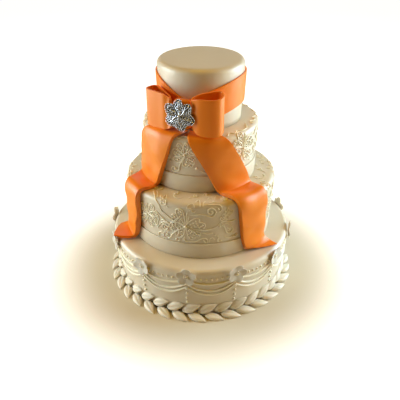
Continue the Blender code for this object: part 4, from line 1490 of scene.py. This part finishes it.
def net_point(turn, share, lift):
    """A point at a share of the outline's reach, and so many mm off the plate."""
    return on_brooch(*flat_point(turn, brooch_reach(turn) * share), lift)


print("the brooch reaches", [round(brooch_reach(turn), 1) for turn in range(0, 360, 60)], "mm")

# %% Brooch plate
# A share of the reach and a lift in mm, over the front, round the edge and over the back.
PLATE_STEPS = ((0.0, 0.0), (0.5, 0.0), (0.93, 0.0), (0.93, -3.0), (0.5, -3.0), (0.0, -3.0))
PLATE_CORNERS = 96
plate_turns = [360 * corner / PLATE_CORNERS for corner in range(PLATE_CORNERS)]
build = skin_through([[net_point(turn, share, lift) for turn in plate_turns] for share, lift in PLATE_STEPS])
bmesh.ops.remove_doubles(build, verts=build.verts, dist=SAME_POINT)
backing = as_mesh(build, "backing", DARK_SILVER)
backing.transform(brooch_to_cake)
backing.shade_smooth()
keep_piece("brooch_backing", backing, "silver", "brooch")

# %% Brooch wires
WIRE_RADIUS, WIRE_LIFT = 0.00042, 0.35
# The rings' shares of the reach. From the first to the second ring there are few spokes, then many.
NET_RINGS = (0.25, 0.43, 0.61, 0.79)
NET_RING_STEPS = 72
FEW_SPOKES, MANY_SPOKES, SPOKE_END = 18, 36, 0.95
SPOKE_BEND, SPOKE_STEPS, SPOKE_WIDTH = 5.0, 6, 0.9
# The thicker stroke up the middle of a lobe.
STROKE = ((0.3, 2), (1.3, 5), (1.0, 9), (-0.3, 12.5), (0.2, 16.5))
STROKE_STEPS, STROKE_WIDTH, STROKE_LIFT = 4, 1.4, 1.0


def on_lobe(lobe, points):
    """Points drawn on an upright lobe, in millimetres, turned clockwise to another lobe's place."""
    turn, reach = lobe
    c, s = cos(radians(turn)), sin(radians(turn))
    size = reach / LOBES[0][1]
    return [((x * c + z * s) * size, (z * c - x * s) * size) for x, z in points]


wires = []
for share in NET_RINGS:
    turns = [360 * step / NET_RING_STEPS for step in range(NET_RING_STEPS + 1)]
    wires.append([(net_point(turn, share, WIRE_LIFT), 1.0) for turn in turns])
for spokes, low, high in ((FEW_SPOKES, *NET_RINGS[:2]), (MANY_SPOKES, NET_RINGS[1], SPOKE_END)):
    for spoke in range(spokes):
        path = []
        for step in range(SPOKE_STEPS + 1):
            share = low + (high - low) * step / SPOKE_STEPS
            turn = 360 * spoke / spokes + SPOKE_BEND * sin(pi * (share - low) / (high - low))
            path.append((net_point(turn, share, WIRE_LIFT), SPOKE_WIDTH))
        wires.append(path)
for lobe in LOBES:
    stroke = on_lobe(lobe, smooth_path(STROKE, STROKE_STEPS))
    wires.append([(on_brooch(x, z, STROKE_LIFT), STROKE_WIDTH) for x, z in stroke])
wire_mesh = run_tree(piped, paths_curve(wires), SILVER, {"Line Radius": WIRE_RADIUS, "Line Sides": 8})
wire_mesh.transform(brooch_to_cake)
keep_piece("brooch_wires", wire_mesh, "silver", "brooch")

# %% Brooch balls
# The row at the rim: the outline is walked in small steps, and a ball is set at each full pitch.
RIM_BALL, RIM_LIFT = 0.00080, 0.5
RIM_PITCH = 2.0
RIM_STEPS, RIM_SHARE = 1440, 0.97
# The balls on the net, then those round the boss and the boss itself.
NET_BALL, NET_LIFT = 0.00068, 0.6
BOSS_BALLS, BOSS_REACH, BOSS_BALL_LIFT = 9, 3.4, 0.9
BOSS_RADIUS, BOSS_LIFT = 0.0019, 0.8
balls = []
since = RIM_PITCH
before = Vector(flat_point(0, brooch_reach(0)))
for step in range(1, RIM_STEPS + 1):
    turn = 360 * step / RIM_STEPS
    now = Vector(flat_point(turn, brooch_reach(turn) * RIM_SHARE))
    since += (now - before).length
    before = now
    if since >= RIM_PITCH:
        since = 0.0
        balls.append((on_brooch(*now, RIM_LIFT), RIM_BALL))
for place in range(MANY_SPOKES):
    balls.append((net_point(360 * (place + 0.5) / MANY_SPOKES, NET_RINGS[3], NET_LIFT), NET_BALL))
for place in range(FEW_SPOKES):
    balls.append((net_point(360 * place / FEW_SPOKES, NET_RINGS[1], NET_LIFT), NET_BALL))
for place in range(BOSS_BALLS):
    balls.append((on_brooch(*flat_point(360 * place / BOSS_BALLS, BOSS_REACH), BOSS_BALL_LIFT), NET_BALL))
balls.append((on_brooch(0, 0, BOSS_LIFT), BOSS_RADIUS))
ball_mesh = run_tree(dotted, dots_mesh(balls), SILVER)
ball_mesh.transform(brooch_to_cake)
keep_piece("brooch_balls", ball_mesh, "silver", "brooch")

# %% [markdown]
# A small cut stone sits in each lobe: a flat table, a ring of slanted facets and a girdle. A tree
# sets one on each point, turned and stretched by the point's own attributes, and leaves it
# flat-shaded so that every facet flashes by itself.

# %% A tree for stones
cut, cut_inputs = start_tree("set_stones", {"Facets": 8})
cone = add_node(
    cut,
    "GeometryNodeMeshCone",
    {"Vertices": cut_inputs["Facets"], "Radius Top": 0.5, "Radius Bottom": 1.0, "Depth": 0.9},
)
turn_by = add_node(cut, "GeometryNodeInputNamedAttribute", {"Name": "turn"}, data_type="FLOAT_VECTOR")
size_by = add_node(cut, "GeometryNodeInputNamedAttribute", {"Name": "size"}, data_type="FLOAT_VECTOR")
turning = add_node(cut, "FunctionNodeEulerToRotation", {0: turn_by.outputs[0]})
stones_set = add_node(
    cut,
    "GeometryNodeInstanceOnPoints",
    {
        "Points": cut_inputs["Geometry"],
        "Instance": cone.outputs[0],
        "Rotation": turning.outputs[0],
        "Scale": size_by.outputs[0],
    },
)
end_tree(cut, stones_set.outputs[0], cut_inputs["Finish"], smooth=False)

# %% Set the stones
# How far up its lobe and how far off the plate a stone sits, and its half sizes, in mm.
STONE_REACH, STONE_LIFT = 18.6, 0.7
STONE_SIZE = (1.0, 1.3, 1.2)
stone_places = [on_brooch(*on_lobe(lobe, [(0, STONE_REACH)])[0], STONE_LIFT) for lobe in LOBES]
stone_points = bpy.data.meshes.new("stones")
stone_points.from_pydata(stone_places, [], [])
turns = stone_points.attributes.new("turn", "FLOAT_VECTOR", "POINT")
turns.data.foreach_set("vector", [v for turn, _ in LOBES for v in (pi / 2, radians(turn), 0.0)])
sizes = stone_points.attributes.new("size", "FLOAT_VECTOR", "POINT")
sizes.data.foreach_set("vector", [v / 1000 for _ in LOBES for v in STONE_SIZE])
stone_mesh = run_tree(cut, stone_points, STONE)
stone_mesh.transform(brooch_to_cake)
keep_piece("brooch_stones", stone_mesh, "silver", "brooch")

# %% [markdown]
# ## The paste flowers
# Each flower is cut from thin paste with a five-petal cutter, cupped on a foam pad and given a
# ring of tiny dots. It is a polar grid: its edge follows the petals' outline, and its height
# rises towards the rim and sinks along the seam between two petals.

# %% One flower
BLOSSOM_RADIUS = 0.0152
PETALS = 5
# A petal's outline is a circle, with its middle this far out and this radius, in flower radii.
PETAL_MIDDLE, PETAL_ROUND = 0.58, 0.42
# The seam between two petals grows from a round heart, at a pace that this power sets.
PARTING_POWER = 0.6
# How far the heart stands off the wall, how much further the rim does, and how late it rises.
HEART_OFF, RIM_RISE, RIM_POWER = 0.0022, 0.0022, 1.5
SEAM_DEPTH, CUP_DEPTH = 0.0009, 0.0005
PETAL_THICKNESS = 0.0011
BLOSSOM_COLUMNS, BLOSSOM_LEVELS = 60, 9


def blossom_mesh(spin, depth):
    """A flower that faces forward, spun by degrees, with its rim a depth further off the wall."""
    rows = [[(0.0, -HEART_OFF, 0.0)]]
    for level in range(1, BLOSSOM_LEVELS + 1):
        share = level / BLOSSOM_LEVELS
        row = []
        for column in range(BLOSSOM_COLUMNS):
            turn = 2 * pi * column / BLOSSOM_COLUMNS
            off_middle = (turn + pi / PETALS) % (2 * pi / PETALS) - pi / PETALS
            far_side = (PETAL_ROUND**2 - (PETAL_MIDDLE * sin(off_middle)) ** 2) ** 0.5
            lobe = PETAL_MIDDLE * cos(off_middle) + far_side
            reach = BLOSSOM_RADIUS * share * (1 + (lobe - 1) * share**PARTING_POWER)
            seam = SEAM_DEPTH * (1 - cos(off_middle * PETALS)) / 2 * share
            cup = CUP_DEPTH * cos(off_middle * PETALS) * share**3
            forward = HEART_OFF + (RIM_RISE + depth) * share**RIM_POWER + cup - seam
            row.append((reach * sin(turn), -forward, reach * cos(turn)))
        rows.append(row)
    mesh = as_mesh(skin_through(rows), "blossom", PETAL_PASTE)
    mesh.transform(Matrix.Rotation(radians(spin), 4, "Y"))
    made = applied(
        mesh,
        ("SOLIDIFY", {"thickness": PETAL_THICKNESS, "offset": 0.0}),
        ("SUBSURF", {"levels": 1, "render_levels": 1}),
    )
    made.shade_smooth()
    return made


print("a flower has", len(blossom_mesh(0.0, 0.0).polygons), "faces")

# %% Press the flowers on
BLOSSOM_HEIGHT = 0.0765
BLOSSOM_STANDOFF = 0.0009
# Each was pressed on by hand. These two sit lowest: degrees round and metres up from the row.
NUDGED = {2: (0.6, -0.0024), 11: (1.0, -0.0024)}
# Each is turned on from the last one by these degrees, and is cupped a little more or less.
SPIN = 17.0
DEPTHS = (-0.0003, 0.0006)
blossom_random = Random(12)


def blossom_place(flower):
    """Where a flower sits on the wall, and which way it faces."""
    round_by, up_by = NUDGED.get(flower, (0.0, 0.0))
    height = BLOSSOM_HEIGHT + up_by
    azimuth = FLOWER_PHASE + FLOWER_SPACING * flower + round_by
    return set_on_cake(azimuth, wall_radius(0, height) + BLOSSOM_STANDOFF, height)


for flower in range(FLOWER_COUNT):
    mesh = blossom_mesh(SPIN * flower, blossom_random.uniform(*DEPTHS))
    mesh.transform(blossom_place(flower))
    keep_piece(f"paste_flower_{flower + 1:02d}", mesh, "flower_paste", f"flower_{flower + 1:02d}")

# %% Flower hearts
HEART_FORWARD = 0.0034
HEART_RADIUS = 0.0017
# The ring round the heart: how far out, the radius of each dot and their number.
RING_REACH, RING_DOT, RING_DOTS = 0.0032, 0.0008, 12
heart_dots = []
for flower in range(FLOWER_COUNT):
    place = blossom_place(flower)
    heart_dots.append((place @ Vector((0.0, -HEART_FORWARD, 0.0)), HEART_RADIUS))
    for dot in range(RING_DOTS):
        turn = 2 * pi * dot / RING_DOTS
        point = Vector((RING_REACH * sin(turn), -HEART_FORWARD, RING_REACH * cos(turn)))
        heart_dots.append((place @ point, RING_DOT))
keep_piece("flower_hearts", run_tree(dotted, dots_mesh(heart_dots), PEARL_ICING), "flower_paste")

# %% [markdown]
# ## The leaf border
# Seventy moulded leaves lie in two rows, one against the wall and one flat at its foot, all pointing
# the same way round. One leaf is modelled: plump, with a crease down the middle and a pointed
# tip. A tree repeats it round the ring, and turns and scales each a little, because no two leaves
# from a hand-pressed mould are quite alike.

# %% One leaf
LEAF_STEPS, LEAF_COLUMNS = 20, 28
# Its width, its height and where it is widest, all as shares of its length.
LEAF_WIDTH_SHARE = 0.45
LEAF_HEIGHT_SHARE = 0.16
WIDEST = 0.40
# How square its section is, then the crease's depth and width, and the veins' depth, number and slant.
CROWN_POWER = 0.75
CREASE_DEPTH, CREASE_WIDTH = 0.34, 0.30
VEIN_DEPTH, VEINS, VEIN_SLANT = 0.06, 6, 1.5
# The underside bulges by the first, in metres. Both ends rise by the second, a share of the length.
UNDERSIDE = 0.0006
TIP_RISE = 0.02


def swell(share, widest, near_butt, near_tip):
    """0 at both ends and 1 at the widest place. A power under 1 makes that end rounder."""
    if share < widest:
        return sin(pi / 2 * share / widest) ** near_butt
    return cos(pi / 2 * (share - widest) / (1 - widest)) ** near_tip


def leaf_mesh(length):
    """A leaf along x from butt to tip, centred, its face up and its underside nearly flat."""
    rows = [[(-length * 0.5, 0.0, length * TIP_RISE)]]
    for step in range(1, LEAF_STEPS):
        share = (1 - cos(pi * step / LEAF_STEPS)) / 2
        half = length * LEAF_WIDTH_SHARE / 2 * swell(share, WIDEST, near_butt=0.6, near_tip=0.95)
        plump = length * LEAF_HEIGHT_SHARE * swell(share, WIDEST, near_butt=0.5, near_tip=0.7)
        row = []
        for column in range(LEAF_COLUMNS):
            turn = 2 * pi * column / LEAF_COLUMNS
            side = cos(turn)
            crown = abs(sin(turn)) ** CROWN_POWER
            crease = CREASE_DEPTH * max(0.0, 1 - abs(side) / CREASE_WIDTH) * (1 - share * 0.5)
            vein = VEIN_DEPTH * sin(2 * pi * (share * VEINS - abs(side) * VEIN_SLANT)) * abs(side) ** 0.5
            lift = plump * (crown - crease + vein * crown) if sin(turn) > 0 else -UNDERSIDE * crown
            row.append((length * (share - 0.5), half * side, lift))
        rows.append(row)
    rows.append([(length * 0.5, 0.0, length * TIP_RISE)])
    return as_mesh(skin_through(rows), "leaf", ROYAL_ICING)


print("a leaf has", len(leaf_mesh(0.026).polygons), "faces")

# %% A tree for a ring of leaves
RING_SIZES = {
    "Leaves": 35,
    "Ring Radius": 0.14,
    "Ring Height": 0.004,
    "First Leaf": 0.0,
    "Looseness": 0.07,
    "Smallest": 0.95,
    "Largest": 1.05,
    "Seed": 1,
}
ring_tree, ring_inputs = start_tree("leaf_ring", RING_SIZES)
number = add_node(ring_tree, "GeometryNodeInputIndex")
step_turn = add_node(ring_tree, "ShaderNodeMath", {0: 2 * pi, 1: ring_inputs["Leaves"]}, operation="DIVIDE")
own_turn = add_node(
    ring_tree,
    "ShaderNodeMath",
    {0: number.outputs[0], 1: step_turn.outputs[0], 2: ring_inputs["First Leaf"]},
    operation="MULTIPLY_ADD",
)
east = add_node(ring_tree, "ShaderNodeMath", {0: own_turn.outputs[0]}, operation="SINE")
north = add_node(ring_tree, "ShaderNodeMath", {0: own_turn.outputs[0]}, operation="COSINE")
# The front of the cake is towards minus y, and azimuths grow to the right, which is plus x.
x_place = add_node(
    ring_tree, "ShaderNodeMath", {0: east.outputs[0], 1: ring_inputs["Ring Radius"]}, operation="MULTIPLY"
)
minus_radius = add_node(
    ring_tree, "ShaderNodeMath", {0: ring_inputs["Ring Radius"], 1: -1.0}, operation="MULTIPLY"
)
y_place = add_node(
    ring_tree, "ShaderNodeMath", {0: north.outputs[0], 1: minus_radius.outputs[0]}, operation="MULTIPLY"
)
leaf_place = add_node(
    ring_tree,
    "ShaderNodeCombineXYZ",
    {"X": x_place.outputs[0], "Y": y_place.outputs[0], "Z": ring_inputs["Ring Height"]},
)
seats = add_node(
    ring_tree, "GeometryNodePoints", {"Count": ring_inputs["Leaves"], "Position": leaf_place.outputs[0]}
)

print("leaves in a ring:", RING_SIZES["Leaves"])

# %% Turn and scale each leaf a little
loose_low = add_node(
    ring_tree, "ShaderNodeMath", {0: ring_inputs["Looseness"], 1: -1.0}, operation="MULTIPLY"
)
wobble = add_node(
    ring_tree,
    "FunctionNodeRandomValue",
    {2: loose_low.outputs[0], 3: ring_inputs["Looseness"], "Seed": ring_inputs["Seed"]},
    data_type="FLOAT",
)
aim = add_node(ring_tree, "ShaderNodeMath", {0: own_turn.outputs[0], 1: wobble.outputs[1]}, operation="ADD")
facing = add_node(ring_tree, "ShaderNodeCombineXYZ", {"Z": aim.outputs[0]})
facing_turn = add_node(ring_tree, "FunctionNodeEulerToRotation", {0: facing.outputs[0]})
# Another seed, so that a leaf's size has nothing to do with its turn.
seed_two = add_node(ring_tree, "ShaderNodeMath", {0: ring_inputs["Seed"], 1: 7.0}, operation="ADD")
scale_by = add_node(
    ring_tree,
    "FunctionNodeRandomValue",
    {2: ring_inputs["Smallest"], 3: ring_inputs["Largest"], "Seed": seed_two.outputs[0]},
    data_type="FLOAT",
)
leaves_set = add_node(
    ring_tree,
    "GeometryNodeInstanceOnPoints",
    {
        "Points": seats.outputs[0],
        "Instance": ring_inputs["Geometry"],
        "Rotation": facing_turn.outputs[0],
        "Scale": scale_by.outputs[1],
    },
)
end_tree(ring_tree, leaves_set.outputs[0], ring_inputs["Finish"])

# %% Lay the two rows
# Each row's butts and tips as a radius and a height, the reach between them round the cake, the
# face's tilt up from level, and the first leaf's azimuth.
LEAF_ROWS = {
    "leaning": ((0.1326, 0.0066), (0.1334, 0.0196), 0.0268, 20.0, -6.0),
    "lying": ((0.1335, 0.0020), (0.1478, 0.0008), 0.0255, 78.0, -2.3),
}
for row_name, (butt, tip, reach, tilt, first) in LEAF_ROWS.items():
    half_reach = degrees(reach / butt[0]) / 2
    start, end = on_cake(-half_reach, *butt), on_cake(half_reach, *tip)
    face = outward(0.0) * cos(radians(tilt)) + UP * sin(radians(tilt))
    along_leaf = (end - start).normalized()
    side = face.cross(along_leaf).normalized()
    up = along_leaf.cross(side)
    pose = Matrix((along_leaf, side, up)).transposed().to_4x4()
    middle = (start + end) / 2
    leaf = leaf_mesh((end - start).length)
    leaf.transform(pose)
    values = {
        "Ring Radius": -middle.y,
        "Ring Height": middle.z,
        "First Leaf": radians(first),
        "Seed": len(row_name),
    }
    leaf_row = run_tree(ring_tree, leaf, ROYAL_ICING, values)
    keep_piece(f"leaves_{row_name}", leaf_row, "royal_icing", "leaf_border")

# %% [markdown]
# ## Finish
# The scene is brought up to date once more. The finer pieces have to stay in the room of
# the solids.

# %% Finish
bpy.context.view_layer.update()
